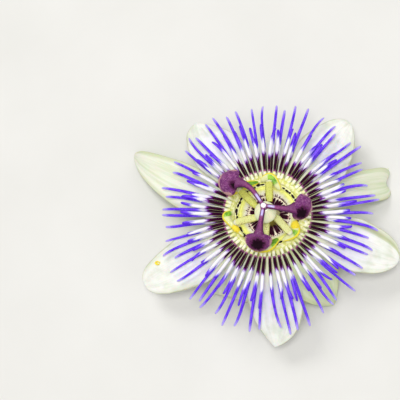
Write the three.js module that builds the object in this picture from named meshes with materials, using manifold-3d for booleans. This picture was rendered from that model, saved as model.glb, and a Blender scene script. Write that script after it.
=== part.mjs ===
// A blue passion flower, picked with a short stalk and laid face up on a table.
//
// Millimetres, +Z up. The flower stands on its drooping sepals, with its axis on Z and the table at
// z = 0. Azimuths are in degrees, counted from +X towards +Y. At the end the whole group is moved so
// that the origin is the bottom centre of the flower's box.
//
// From the outside in: a cup (hypanthium) on a bent stalk carries five sepals, five petals, three
// rings of corona filaments, the operculum with its fringe, and the central column. The column
// carries five stamens with their anthers, the ovary, and three styles with their stigmas.

import * as THREE from 'three';
import { mergeVertices } from 'three/addons/utils/BufferGeometryUtils.js';
import Module from 'manifold-3d';

const wasm = await Module();
wasm.setup();

// ---- Driving dimensions ----

const SEAT_GAP = 0.3; // left between a piece and what carries it

const RIM_HEIGHT = 15; // rim of the cup above the table
const CUP_RADIUS = 12;
const CUP_MOUTH_RADIUS = 10.2;
const CHAMBER_RADIUS = 8; // the nectar chamber inside the cup
const CHAMBER_FLOOR = 9;
const CUP_BASE = 6.5;
const RIM_TOP = RIM_HEIGHT - 0.4;
const LEDGE_HEIGHT = RIM_HEIGHT - 1.6;

const STALK_RADIUS = 1.25;
const STALK_NODE_RADIUS = 1.9;
const STALK_BEND_RADIUS = 3.4;
const STALK_REACH = 23;
const STALK_AZIMUTH = 200;

const BLADE_ROOT_RADIUS = CUP_RADIUS + SEAT_GAP;
const PETAL_ROOT_HEIGHT = RIM_HEIGHT - 1.35;
const PETAL_THICKNESS = 0.7;
const SEPAL_ROOT_HEIGHT = RIM_HEIGHT - 3.1;
const SEPAL_THICKNESS = 0.9;
const SEPAL_KEEL = 0.6;
const SETTLED_THICKNESS = 0.7; // least height of a blade's upper face where it lies on the table
const BRACT_THICKNESS = 0.7;

const COLUMN_RADIUS = 2;
const COLUMN_TOP = RIM_HEIGHT + 8;
const STAMEN_ROOT_RADIUS = 3;
const STAMEN_ROOT_HEIGHT = COLUMN_TOP - 0.4;
const STAMEN_TIP_HEIGHT = RIM_HEIGHT + 6.4;
const OVARY_RADIUS = 3.4;
const OVARY_BOW = [0.2, -1.3]; // how far its middle bulges off the column's axis
const OVARY_HEIGHT = 4.9;
const STYLE_ROOT_HEIGHT = COLUMN_TOP + 6.3;
const STYLE_END_HEIGHT = RIM_HEIGHT + 11.6;
const STIGMA_HALF_SIZE = [2.9, 4.2, 1.9]; // along the style's end, across it, and in height

const COLOURS = {
  petal: 0xf2f4ef,
  sepal: 0xdfe8c6,
  leafGreen: 0x8fae62,
  corona: 0x6f46ee,
  darkPurple: 0x2e0b22,
  membrane: 0xeaec9c,
  column: 0xb9b548,
  stamen: 0xdadc82,
  anther: 0x7ab636,
  ovary: 0xe9edbf,
  style: 0x86458a,
};

// ---- Small helpers ----

const radians = THREE.MathUtils.degToRad;

const smooth = (x) => THREE.MathUtils.smoothstep(x, 0, 1);

// A repeatable scatter between -1 and 1 for item k; each salt gives a separate sequence.
function scatter(k, salt) {
  const wave = Math.sin(k * 12.9898 + salt * 78.233) * 43758.5453;
  return 2 * (wave - Math.floor(wave)) - 1;
}

// The point at a radius from the flower's axis, moved sideways by an offset.
function polar(radius, azimuth, height, sideways = 0) {
  const cos = Math.cos(radians(azimuth));
  const sin = Math.sin(radians(azimuth));
  return new THREE.Vector3(radius * cos - sideways * sin, radius * sin + sideways * cos, height);
}

// A closed body from points and triangles, turned so that its faces point outwards.
function closedBody(points, triangles) {
  const volume = triangles.reduce((sum, [a, b, c]) => {
    const cross = new THREE.Vector3().crossVectors(points[b], points[c]);
    return sum + points[a].dot(cross);
  }, 0);
  const index = triangles.flatMap(([a, b, c]) => (volume > 0 ? [a, b, c] : [a, c, b]));
  const geometry = new THREE.BufferGeometry().setFromPoints(points);
  geometry.setIndex(index);
  geometry.computeVertexNormals();
  return geometry;
}

// A closed body through rings that have the same number of corners, with flat ends.
function loft(rings) {
  const corners = rings[0].length;
  const triangles = [];
  for (let i = 0; i + 1 < rings.length; i++) {
    for (let j = 0; j < corners; j++) {
      const next = (j + 1) % corners;
      const [a, b] = [i * corners + j, i * corners + next];
      triangles.push([a, b, b + corners], [a, b + corners, a + corners]);
    }
  }
  const last = (rings.length - 1) * corners;
  for (let j = 1; j + 1 < corners; j++) {
    triangles.push([0, j + 1, j], [last, last + j, last + j + 1]);
  }
  return closedBody(rings.flat(), triangles);
}

// An oval ring of corners round a centre, in the plane of two unit vectors.
function ovalRing(centre, side, up, halfWidth, halfHeight, corners) {
  return Array.from({ length: corners }, (_, j) => {
    const angle = 2 * Math.PI * (j + 0.5) / corners;
    return centre.clone()
      .addScaledVector(side, halfWidth * Math.cos(angle))
      .addScaledVector(up, halfHeight * Math.sin(angle));
  });
}

// A rod of oval section along a curve. size(s) gives the half-width and half-height at share s.
function rod(curve, steps, corners, size) {
  const rings = Array.from({ length: steps + 1 }, (_, i) => {
    const s = i / steps;
    const along = curve.getTangent(s);
    const side = new THREE.Vector3(0, 0, 1).cross(along).normalize();
    const up = new THREE.Vector3().crossVectors(along, side);
    return ovalRing(curve.getPoint(s), side, up, ...size(s), corners);
  });
  return loft(rings);
}

// A body of revolution about Z from a profile of radii and heights.
function turned(profile, segments) {
  const points = profile.map(([radius, height]) => new THREE.Vector2(radius, height));
  return new THREE.LatheGeometry(points, segments).rotateX(Math.PI / 2);
}

// A ring of revolution, whose profile closes on itself.
function turnedRing(profile, segments) {
  return turned([...profile, profile[0]], segments);
}

function toManifold(geometry) {
  const bare = geometry.clone();
  bare.deleteAttribute('normal');
  bare.deleteAttribute('uv');
  const merged = mergeVertices(bare, 1e-4);
  return new wasm.Manifold(new wasm.Mesh({
    numProp: 3,
    vertProperties: merged.attributes.position.array,
    triVerts: Uint32Array.from(merged.index.array),
  }));
}

// Joins overlapping closed bodies into one.
function fuse(geometries) {
  const mesh = geometries.map(toManifold).reduce((body, piece) => body.add(piece)).getMesh();
  const geometry = new THREE.BufferGeometry();
  geometry.setAttribute('position', new THREE.BufferAttribute(mesh.vertProperties, 3));
  geometry.setIndex(new THREE.BufferAttribute(mesh.triVerts, 1));
  geometry.computeVertexNormals();
  return geometry;
}

const flower = new THREE.Group();

function addPiece(name, geometry, colour, roughness = 0.6) {
  const material = new THREE.MeshStandardMaterial({ color: colour, roughness, metalness: 0 });
  const mesh = new THREE.Mesh(geometry, material);
  mesh.name = name;
  flower.add(mesh);
}

// ---- Stalk, bracts and cup ----

// The stalk drops from under the cup, turns through a quarter circle and lies along the table.
class StalkCurve extends THREE.Curve {
  constructor(top, lying) {
    super();
    this.drop = top - lying - STALK_BEND_RADIUS;
    this.arc = STALK_BEND_RADIUS * Math.PI / 2;
    this.run = STALK_REACH - STALK_BEND_RADIUS;
    this.top = top;
    this.lying = lying;
  }

  getPoint(share, target = new THREE.Vector3()) {
    const length = share * (this.drop + this.arc + this.run);
    if (length <= this.drop) {
      return target.copy(polar(0, STALK_AZIMUTH, this.top - length));
    }
    if (length <= this.drop + this.arc) {
      const turn = (length - this.drop) / STALK_BEND_RADIUS;
      const radius = STALK_BEND_RADIUS * (1 - Math.cos(turn));
      const height = this.lying + STALK_BEND_RADIUS * (1 - Math.sin(turn));
      return target.copy(polar(radius, STALK_AZIMUTH, height));
    }
    const radius = STALK_BEND_RADIUS + length - this.drop - this.arc;
    return target.copy(polar(radius, STALK_AZIMUTH, this.lying));
  }
}

function stalkGeometry() {
  const curve = new StalkCurve(CUP_BASE - SEAT_GAP, STALK_RADIUS + 0.15);
  const side = polar(0, STALK_AZIMUTH, 0, 1);
  const steps = 16;
  const rings = Array.from({ length: steps + 1 }, (_, i) => {
    const s = i / steps;
    const up = new THREE.Vector3().crossVectors(curve.getTangent(s), side);
    const swelling = (STALK_NODE_RADIUS - STALK_RADIUS) * (1 - smooth(s / 0.16));
    const radius = STALK_RADIUS + swelling;
    return ovalRing(curve.getPoint(s), side, up, radius, radius, 10);
  });
  return loft(rings);
}

// The cup's wall: up the outside to the rim, down over the ledge, and in along the chamber's floor.
const CUP_PROFILE = [
  [0, CUP_BASE], [2.6, CUP_BASE], [8.2, CUP_BASE + 1.1], [10.8, CUP_BASE + 3.3],
  [11.8, CUP_BASE + 5.6], [CUP_RADIUS, RIM_TOP], [CUP_MOUTH_RADIUS, RIM_TOP],
  [CUP_MOUTH_RADIUS, LEDGE_HEIGHT], [CHAMBER_RADIUS, LEDGE_HEIGHT],
  [7.4, CHAMBER_FLOOR + 1.6], [5.2, CHAMBER_FLOOR], [0, CHAMBER_FLOOR],
];

// ---- Blades: petals, sepals and bracts ----

const BLADE_ROWS = 9;
const BLADE_COLUMNS = 6;

// A blade follows its rib, a cubic Bezier of radii and heights in the upright plane at its azimuth.
// Its half-width grows from a narrower root and closes at the tip by (1 - s^tipPower)^point, where
// a half gives a round tip and one a pointed tip. The edges lift off the rib by cup, and wave along
// the blade; corners carries the tip's corners past its middle, sweep carries the tip sideways, and
// skew lets one edge reach further than the other. The upper and lower face have the same pattern
// of triangles, and a blade that meets the table lies flat on it.
function blade({
  azimuth, rib, halfWidth, rootShare, tipPower, point = 0.5, cup, wave = 0, waves = 2, corners = 0,
  sweep = 0, skew = 0, thickness, keel = 0,
}) {
  const curve = new THREE.CubicBezierCurve(...rib.map(([r, z]) => new THREE.Vector2(r, z)));
  const upper = [];
  const lower = [];
  for (let i = 0; i <= BLADE_ROWS; i++) {
    const s = Math.sin(0.5 * Math.PI * i / BLADE_ROWS);
    const middle = curve.getPoint(s);
    const along = curve.getTangent(s);
    const outline = (rootShare + (1 - rootShare) * smooth(2 * s)) * (1 - s ** tipPower) ** point;
    const width = Math.max(halfWidth * outline, 0.5);
    for (let j = 0; j <= BLADE_COLUMNS; j++) {
      const t = 2 * j / BLADE_COLUMNS - 1;
      const across = t * width / halfWidth;
      const ripple = wave * Math.sin(2 * Math.PI * waves * s + 2 * Math.sign(t)) * smooth(2 * s);
      const lift = cup * across ** 2 * (0.2 + 0.8 * s) + ripple * Math.abs(across) ** 3;
      const reach = corners * across ** 2 * s ** 8;
      const ridge = keel * Math.exp(-((t / 0.2) ** 2)) * (1 - 0.6 * s);
      const faces = [thickness / 2, -thickness / 2 - ridge].map((offset) => {
        const rise = along.x * (lift + offset) + along.y * reach;
        const run = middle.x - rib[0][0] - along.y * (lift + offset) + along.x * reach;
        const sideways = t * width + sweep * s ** 2;
        return polar(rib[0][0] + run * (1 + skew * across), azimuth, middle.y + rise, sideways);
      });
      const [high, low] = faces[0].z > faces[1].z ? faces : [faces[1], faces[0]];
      low.z = Math.max(low.z, 0);
      high.z = Math.max(high.z, SETTLED_THICKNESS);
      upper.push(faces[0]);
      lower.push(faces[1]);
    }
  }
  return closedBody([...upper, ...lower], bladeTriangles());
}

function bladeTriangles() {
  const row = BLADE_COLUMNS + 1;
  const under = row * (BLADE_ROWS + 1);
  const triangles = [];
  for (let i = 0; i < BLADE_ROWS; i++) {
    for (let j = 0; j < BLADE_COLUMNS; j++) {
      const [a, b] = [i * row + j, (i + 1) * row + j];
      triangles.push([a, b, b + 1], [a, b + 1, a + 1]);
      triangles.push([under + a, under + b + 1, under + b], [under + a, under + a + 1, under + b + 1]);
    }
  }
  const rim = [];
  for (let j = 0; j < BLADE_COLUMNS; j++) rim.push(j);
  for (let i = 0; i < BLADE_ROWS; i++) rim.push(i * row + BLADE_COLUMNS);
  for (let j = BLADE_COLUMNS; j > 0; j--) rim.push(BLADE_ROWS * row + j);
  for (let i = BLADE_ROWS; i > 0; i--) rim.push(i * row);
  rim.forEach((a, k) => {
    const b = rim[(k + 1) % rim.length];
    triangles.push([a, b, under + b], [a, under + b, under + a]);
  });
  return triangles;
}

const PETALS = [
  {
    azimuth: 45.7, reach: 39.8, tipHeight: 9.6, halfWidth: 10.8, tipPower: 1.8, corners: -1.7,
    sweep: 3, skew: 0.05,
  },
  {
    azimuth: -20, reach: 43, tipHeight: 8.6, halfWidth: 8.6, tipPower: 3.8, corners: -0.9,
    sweep: 0.5, skew: 0.03,
  },
  {
    azimuth: -84.1, reach: 40.3, tipHeight: 8, halfWidth: 8.9, tipPower: 4.5, point: 0.95,
    corners: -4.2, sweep: -2.8, skew: 0.16, cup: 1.2,
  },
  {
    azimuth: -149.7, reach: 44.9, tipHeight: 8.4, halfWidth: 10.3, tipPower: 1.2, point: 0.35,
    corners: -0.6, sweep: -2.5,
  },
  {
    azimuth: 127, reach: 40.1, tipHeight: 9.6, halfWidth: 8.9, tipPower: 3.6, point: 0.82,
    corners: 3, sweep: -0.5, skew: 0.17,
  },
];

function petalGeometry({ reach, tipHeight, ...shape }, k) {
  const length = reach - BLADE_ROOT_RADIUS;
  return blade({
    cup: 1.6,
    ...shape,
    rib: [
      [BLADE_ROOT_RADIUS, PETAL_ROOT_HEIGHT],
      [BLADE_ROOT_RADIUS + 0.33 * length, PETAL_ROOT_HEIGHT + 1.1],
      [BLADE_ROOT_RADIUS + 0.7 * length, PETAL_ROOT_HEIGHT - 1.6],
      [reach, tipHeight],
    ],
    rootShare: 0.52,
    wave: 0.3,
    waves: 1.5 + 0.3 * scatter(k, 1),
    thickness: PETAL_THICKNESS,
  });
}

// Three sepals reach out in an arch, and two bend down steeply and curl under.
const SEPALS = [
  {
    azimuth: 18.5, bend: [[24, 13.4], [33, 8], [39.8, 0.1]], halfWidth: 5.3, tipPower: 10,
    corners: 4, skew: 0.06,
  },
  {
    azimuth: -52.5, bend: [[20, 13.4], [28, 8], [32.7, 0.1]], halfWidth: 9.6, tipPower: 2.9,
    point: 0.95, corners: -6, sweep: -0.5, skew: -0.08,
  },
  {
    azimuth: -119, bend: [[22, 13.4], [35, 5], [21, 0.35]], halfWidth: 7.2, tipPower: 6,
    skew: -0.13,
  },
  {
    azimuth: 161, bend: [[26.5, 13.4], [41, 10.5], [52.4, 0.1]], halfWidth: 9.3, tipPower: 1.2,
    point: 0.67, corners: 2, sweep: -7.5, skew: -0.16,
  },
  { azimuth: 91, bend: [[21, 13.4], [34, 5.5], [20, 0.35]], halfWidth: 6.6, tipPower: 6 },
];

function sepalGeometry({ bend, ...shape }, k) {
  return blade({
    ...shape,
    rib: [[BLADE_ROOT_RADIUS, SEPAL_ROOT_HEIGHT], ...bend],
    rootShare: 0.74,
    cup: 0.7,
    wave: 0.25,
    waves: 1.3 + 0.3 * scatter(k, 2),
    thickness: SEPAL_THICKNESS,
    keel: SEPAL_KEEL,
  });
}

const BRACT_AZIMUTHS = [110, 245, 350];

function bractGeometry(azimuth) {
  return blade({
    azimuth,
    rib: [[STALK_NODE_RADIUS + SEAT_GAP, 5.4], [7, 5.7], [13, 8.4], [19.5, 5.6]],
    halfWidth: 6.2,
    rootShare: 0.35,
    tipPower: 2.4,
    cup: 0.5,
    thickness: BRACT_THICKNESS,
  });
}

// ---- Corona ----

// Height of the outer row's middle line: it lifts off the rim, levels out and droops to the tips.
function coronaHeight(radius) {
  const droop = 3.2 * (Math.max(radius - 20, 0) / 18) ** 2;
  return RIM_HEIGHT + 0.6 + 0.9 * smooth((radius - 12) / 8) - droop;
}

// The corona reaches further along Y than along X.
const coronaReach = (azimuth) => 33.6 + 2.9 * Math.sin(radians(azimuth)) ** 2;

// A filament is a four-cornered rod: a bead at its foot, a neck, a broader middle and a thin tip.
function filament({ azimuth, footRadius, tipRadius, lift, sway }) {
  const stations = [
    [footRadius - 0.8, 0.45], [footRadius, 0.6], [footRadius + 1.5, 0.48],
    [footRadius + 0.5 * (tipRadius - footRadius), 0.5], [tipRadius, 0.28],
  ];
  const side = polar(0, azimuth, 0, 1);
  const up = new THREE.Vector3(0, 0, 1);
  return loft(stations.map(([radius, half]) => {
    const share = Math.max(radius - footRadius, 0) / (tipRadius - footRadius);
    const centre = polar(radius, azimuth, coronaHeight(radius) + lift * share, sway * share ** 2);
    return ovalRing(centre, side, up, half * Math.SQRT2, half * Math.SQRT2, 4);
  }));
}

const OUTER_FILAMENTS = 58;
const OUTER_FOOT_RADIUS = 12.3;
const OUTER_RING = [
  [10.9, RIM_TOP + SEAT_GAP], [13, RIM_TOP + SEAT_GAP], [12.8, RIM_HEIGHT + 0.7],
  [10.9, RIM_HEIGHT + 0.9],
];

function outerCorona() {
  const filaments = Array.from({ length: OUTER_FILAMENTS }, (_, k) => {
    const azimuth = 360 * (k + 0.22 * scatter(k, 3)) / OUTER_FILAMENTS;
    return filament({
      azimuth,
      footRadius: OUTER_FOOT_RADIUS,
      tipRadius: coronaReach(azimuth) + 1.8 * scatter(k, 4),
      lift: -0.3 + 0.3 * scatter(k, 5),
      sway: 1.3 * scatter(k, 6),
    });
  });
  return fuse([turnedRing(OUTER_RING, 29), ...filaments]);
}

const SECOND_FILAMENTS = 58;
const SECOND_FOOT_RADIUS = 12.2;
const SECOND_RAISE = 1.65; // the second row lies over the outer row
const SECOND_RING = [
  [10.3, RIM_HEIGHT + 1.35], [12.8, RIM_HEIGHT + 1.55], [12.6, RIM_HEIGHT + 2.2],
  [11.4, RIM_HEIGHT + 2.4], [10.3, RIM_HEIGHT + 2.2],
];

function secondCorona() {
  const filaments = Array.from({ length: SECOND_FILAMENTS }, (_, k) => {
    const azimuth = 360 * (k + 0.25 * scatter(k, 7)) / SECOND_FILAMENTS;
    const piece = filament({
      azimuth,
      footRadius: SECOND_FOOT_RADIUS,
      tipRadius: 0.78 * coronaReach(azimuth) + 1.8 * scatter(k, 8),
      lift: 0.3 + 0.3 * scatter(k, 9),
      sway: 1.1 * scatter(k, 10),
    });
    return piece.translate(0, 0, SECOND_RAISE);
  });
  return fuse([turnedRing(SECOND_RING, 23), ...filaments]);
}

// A three-cornered spike between two points.
function spike(foot, tip, footHalf, tipHalf) {
  return rod(new THREE.LineCurve3(foot, tip), 1, 3, (s) => {
    const half = THREE.MathUtils.lerp(footHalf, tipHalf, s);
    return [half, half];
  });
}

// The innermost row: short threads with thick dark heads, upright on the cup's ledge.
const INNER_HEADS = 44;
const INNER_RADIUS = 9.63;
const INNER_RING = [
  [9.38, LEDGE_HEIGHT + SEAT_GAP], [9.88, LEDGE_HEIGHT + SEAT_GAP],
  [9.88, RIM_HEIGHT + 1.2], [9.38, RIM_HEIGHT + 1.2],
];

function innerCorona() {
  const heads = Array.from({ length: INNER_HEADS }, (_, k) => {
    const azimuth = 360 * (k + 0.3 * scatter(k, 11)) / INNER_HEADS;
    const foot = polar(INNER_RADIUS, azimuth, RIM_HEIGHT + 0.8);
    const tip = polar(INNER_RADIUS, azimuth, RIM_HEIGHT + 1.8 + 0.2 * scatter(k, 12), 0.1);
    return spike(foot, tip, 0.2, 0.3);
  });
  return fuse([turnedRing(INNER_RING, 28), ...heads]);
}

// ---- Operculum and its fringe ----

// The membrane stands on the ledge, arches over and slopes in towards the column.
const OPERCULUM_PROFILE = [
  [8.1, LEDGE_HEIGHT + SEAT_GAP], [9.05, LEDGE_HEIGHT + SEAT_GAP], [9.05, RIM_HEIGHT + 0.7],
  [8.7, RIM_HEIGHT + 1.3], [8, RIM_HEIGHT + 1.1], [7.2, RIM_HEIGHT + 0.2],
  [6.5, RIM_HEIGHT - 0.7], [6.5, RIM_HEIGHT - 1.5], [7.3, RIM_HEIGHT - 0.7],
  [7.9, RIM_HEIGHT], [8.2, RIM_HEIGHT - 0.2],
];

const LASHES = 40;
const FRINGE_RADIUS = 6.2;
const FRINGE_TOP = RIM_HEIGHT - 1.8;
const FRINGE_RING = [
  [FRINGE_RADIUS - 0.4, FRINGE_TOP - 0.7], [FRINGE_RADIUS + 0.6, FRINGE_TOP - 0.7],
  [FRINGE_RADIUS + 0.6, FRINGE_TOP], [FRINGE_RADIUS - 0.4, FRINGE_TOP],
];

function operculumFringe() {
  const lashes = Array.from({ length: LASHES }, (_, k) => {
    const azimuth = 360 * (k + 0.3 * scatter(k, 13)) / LASHES;
    const foot = polar(FRINGE_RADIUS - 0.1, azimuth, FRINGE_TOP - 0.3);
    const tip = polar(3.4 + 0.3 * scatter(k, 14), azimuth, FRINGE_TOP + 1.3, 0.3 * scatter(k, 15));
    return spike(foot, tip, 0.3, 0.18);
  });
  return fuse([turnedRing(FRINGE_RING, 17), ...lashes]);
}

// ---- Column, stamens and anthers ----

const COLUMN_PROFILE = [
  [0, CHAMBER_FLOOR + SEAT_GAP], [3, CHAMBER_FLOOR + SEAT_GAP], [2.6, CHAMBER_FLOOR + 1.6],
  [COLUMN_RADIUS + 0.2, RIM_HEIGHT - 1], [COLUMN_RADIUS, COLUMN_TOP - 4], [2.35, COLUMN_TOP - 1],
  [2.2, COLUMN_TOP - 0.1], [1.4, COLUMN_TOP], [0, COLUMN_TOP],
];

// A stamen runs from the azimuth of its root to its tip. Each anther lies across its stamen's tip
// as two arms that meet at an elbow. Tip, elbow and the arms' ends are given in x and y, and girth
// is each arm's share of the full width.
const STAMENS = [
  {
    root: 66, tip: [0.9, 9.8], elbow: [1.2, 11], ends: [[-1.9, 10.3], [4.1, 7.2]], girth: [1, 1],
  },
  {
    root: 158, tip: [-8.6, 7.2], elbow: [-8.6, 8.1], ends: [[-11.9, 5.6], [-2.7, 9.8]],
    girth: [1, 1],
  },
  {
    root: 224, tip: [-10, -3.5], elbow: [-12.5, -1.5], ends: [[-10.6, 0.5], [-7.3, -7.2]],
    girth: [0.9, 0.65],
  },
  {
    root: 274, tip: [-0.4, -10.4], elbow: [0.2, -11], ends: [[-4.4, -11.4], [3.5, -8.2]],
    girth: [1, 1],
  },
  {
    root: -32, tip: [7.7, -7.3], elbow: [8.8, -6.2], ends: [[8, -1.9], [4.8, -8.7]],
    girth: [1, 1],
  },
];

function stamenGeometry({ root, tip }) {
  const start = polar(STAMEN_ROOT_RADIUS, root, STAMEN_ROOT_HEIGHT);
  const end = new THREE.Vector3(...tip, STAMEN_TIP_HEIGHT);
  const crest = start.clone().lerp(end, 0.45).setZ(STAMEN_ROOT_HEIGHT + 0.5);
  const curve = new THREE.QuadraticBezierCurve3(start, crest, end);
  return rod(curve, 6, 8, (s) => [0.85 + 0.35 * smooth(4 * s) - 0.25 * smooth(5 * s - 4), 0.45]);
}

const ANTHER_HALF_WIDTH = 1.3;
const ANTHER_HALF_HEIGHT = 0.75;
const ANTHER_DROOP = 0.7;

// The anther's line is a cubic Bezier whose two inner controls fall together, so that it passes
// the elbow halfway.
function antherGeometry({ elbow, ends, girth }) {
  const height = STAMEN_TIP_HEIGHT - 0.6 - SEAT_GAP - ANTHER_HALF_HEIGHT;
  const middle = new THREE.Vector3(...elbow, height);
  const [first, last] = ends.map((end) => new THREE.Vector3(...end, height - ANTHER_DROOP));
  const control = middle.clone().addScaledVector(first, -0.125).addScaledVector(last, -0.125);
  control.divideScalar(0.75);
  const curve = new THREE.CubicBezierCurve3(first, control, control, last);
  return rod(curve, 10, 8, (s) => {
    const taper = Math.max(Math.sin(Math.PI * s), 0) ** 0.4;
    const halfWidth = ANTHER_HALF_WIDTH * THREE.MathUtils.lerp(...girth, smooth(2 * s - 0.5));
    return [0.3 + (halfWidth - 0.3) * taper, 0.2 + (ANTHER_HALF_HEIGHT - 0.2) * taper];
  });
}

// ---- Ovary, styles and stigmas ----

function ovaryGeometry() {
  const steps = 10;
  const half = OVARY_HEIGHT / 2;
  const profile = Array.from({ length: steps + 1 }, (_, i) => {
    const angle = Math.PI * i / steps;
    return [OVARY_RADIUS * Math.sin(angle), -half * Math.cos(angle)];
  });
  profile[0][0] = 0;
  profile[steps][0] = 0;
  const body = turned(profile, 20);
  const points = body.attributes.position;
  for (let i = 0; i < points.count; i++) {
    const share = 1 - (points.getZ(i) / half) ** 2;
    points.setX(i, points.getX(i) + OVARY_BOW[0] * share);
    points.setY(i, points.getY(i) + OVARY_BOW[1] * share);
  }
  return body.translate(0, 0, COLUMN_TOP + SEAT_GAP + half);
}

// A style leaves the ovary's top at one azimuth, arches out to its end and sinks into the back of
// its stigma. The end and the stigma's middle are given in x and y, and the heading is the way the
// stigma faces.
const STYLES = [
  { leaves: 123, end: [-7.4, 8], stigma: [-10.9, 8.6], heading: 168 },
  { leaves: -8, end: [7.9, -0.6], stigma: [11.6, 0.1], heading: -18 },
  { leaves: -99, end: [-1.6, -7.2], stigma: [-2.1, -10.5], heading: -96 },
];
const STYLE_START_RADIUS = 1.15;
const STIGMA_SLOPE = 0.45; // fall per length of the way that a stigma faces
const STIGMA_HEIGHT = STYLE_END_HEIGHT - 1.2;

function styleCurve({ leaves, end, stigma }) {
  const start = polar(STYLE_START_RADIUS, leaves, STYLE_ROOT_HEIGHT);
  const last = new THREE.Vector3(...end, STYLE_END_HEIGHT);
  const onward = new THREE.Vector3(...stigma, STIGMA_HEIGHT).sub(last).normalize();
  const reach = start.distanceTo(last);
  return new THREE.CubicBezierCurve3(
    start,
    start.clone().add(polar(0.45 * reach, leaves, 0.5)),
    last.clone().addScaledVector(onward, -0.3 * reach),
    last,
  );
}

const styleRadius = (s) => 0.72 + 0.2 * s + 0.45 * s ** 4;

// A stigma is a bean: an egg shape that is long across the style, with its two lobes bent back
// and down, and a dent in its top behind the style's end.
function stigmaGeometry({ heading, stigma }) {
  const [halfLength, halfWidth, halfHeight] = STIGMA_HALF_SIZE;
  const outwards = polar(1, heading, -STIGMA_SLOPE).normalize();
  const side = polar(0, heading, 0, 1);
  const up = new THREE.Vector3().crossVectors(outwards, side);
  const middle = new THREE.Vector3(...stigma, STIGMA_HEIGHT);
  const place = (x, y, z) => {
    const dent = 0.7 * Math.exp(-(((x + 0.6) / 1.4) ** 2) - (y / 1.6) ** 2);
    const bentX = x - 0.04 * y * y;
    const bentZ = z - 0.05 * y * y - (z > 0 ? dent : 0);
    return middle.clone().addScaledVector(outwards, bentX)
      .addScaledVector(side, y).addScaledVector(up, bentZ);
  };
  const steps = 9;
  const corners = 12;
  const rings = Array.from({ length: steps + 1 }, (_, i) => {
    const turn = Math.PI * (0.06 + 0.88 * i / steps);
    const y = -halfWidth * Math.cos(turn);
    return Array.from({ length: corners }, (_, j) => {
      const angle = 2 * Math.PI * j / corners;
      const x = halfLength * Math.sin(turn) * Math.cos(angle);
      return place(x, y, halfHeight * Math.sin(turn) * Math.sin(angle));
    });
  });
  return loft(rings);
}

// ---- Assembly ----

addPiece('peduncle', stalkGeometry(), COLOURS.leafGreen);
BRACT_AZIMUTHS.forEach((azimuth, k) => {
  addPiece(`bract_${k + 1}`, bractGeometry(azimuth), COLOURS.leafGreen);
});
addPiece('hypanthium', turned(CUP_PROFILE, 36), COLOURS.sepal);
SEPALS.forEach((sepal, k) => addPiece(`sepal_${k + 1}`, sepalGeometry(sepal, k), COLOURS.sepal));
PETALS.forEach((petal, k) => addPiece(`petal_${k + 1}`, petalGeometry(petal, k), COLOURS.petal));
addPiece('corona_outer', outerCorona(), COLOURS.corona);
addPiece('corona_second', secondCorona(), COLOURS.corona);
addPiece('corona_inner', innerCorona(), COLOURS.darkPurple);
addPiece('operculum', turnedRing(OPERCULUM_PROFILE, 36), COLOURS.membrane);
addPiece('operculum_fringe', operculumFringe(), COLOURS.darkPurple);
addPiece('androgynophore', turned(COLUMN_PROFILE, 20), COLOURS.column);
STAMENS.forEach((stamen, k) => {
  addPiece(`stamen_${k + 1}`, stamenGeometry(stamen), COLOURS.stamen);
  addPiece(`anther_${k + 1}`, antherGeometry(stamen), COLOURS.anther);
});
addPiece('ovary', ovaryGeometry(), COLOURS.ovary, 0.4);
STYLES.forEach((style, k) => {
  const body = rod(styleCurve(style), 8, 8, (s) => [styleRadius(s), styleRadius(s)]);
  addPiece(`style_${k + 1}`, body, COLOURS.style, 0.45);
  addPiece(`stigma_${k + 1}`, stigmaGeometry(style), COLOURS.style, 0.5);
});

const box = new THREE.Box3().setFromObject(flower, true);
const centre = box.getCenter(new THREE.Vector3());
flower.position.set(-centre.x, -centre.y, -box.min.z);
flower.updateMatrixWorld(true);

export default flower;
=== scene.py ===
import bpy
import numpy as np
from mathutils import Matrix, Vector


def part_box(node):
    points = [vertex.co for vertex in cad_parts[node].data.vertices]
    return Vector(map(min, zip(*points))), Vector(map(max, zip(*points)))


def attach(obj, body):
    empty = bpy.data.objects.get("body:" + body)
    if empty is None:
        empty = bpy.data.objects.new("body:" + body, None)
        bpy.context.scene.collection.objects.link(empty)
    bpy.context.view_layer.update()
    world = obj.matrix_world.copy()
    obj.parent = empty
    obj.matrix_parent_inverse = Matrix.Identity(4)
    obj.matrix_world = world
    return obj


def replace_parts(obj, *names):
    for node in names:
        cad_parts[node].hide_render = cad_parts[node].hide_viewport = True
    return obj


# A blue passion flower, picked with a short stalk and laid face up on a table.
#
# Shapes are worked out in millimetres about the flower's axis, which runs through the middle of the
# operculum, with +Z up and the table at z = 0, and go into the meshes in metres. Azimuths are in
# degrees, counted from +X towards +Y.

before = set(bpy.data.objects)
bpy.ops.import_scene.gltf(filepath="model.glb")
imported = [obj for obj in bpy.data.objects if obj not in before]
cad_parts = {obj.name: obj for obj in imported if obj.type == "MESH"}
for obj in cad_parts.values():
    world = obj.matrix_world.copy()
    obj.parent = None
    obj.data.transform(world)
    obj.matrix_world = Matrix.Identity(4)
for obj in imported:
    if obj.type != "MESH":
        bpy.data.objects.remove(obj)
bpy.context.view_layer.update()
low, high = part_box("operculum")
AXIS = np.array([*((low + high) / 2).xy, 0.0]) * 1000

# ---- Camera ----

CAMERA_TILT = np.radians(13)  # off the flower's axis
CAMERA_SIDE = np.radians(-65)  # the azimuth that it leans to
CAMERA_DISTANCE = 0.4  # metres
SENSOR_WIDTH = 36
FRAME_WIDTH = 400  # pixels
PIXELS_PER_MM = 3.2
FOCUS_PIXEL = (68, -15)  # right and up of the frame's middle
FOCUS_HEIGHT = 15.6  # millimetres

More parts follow.
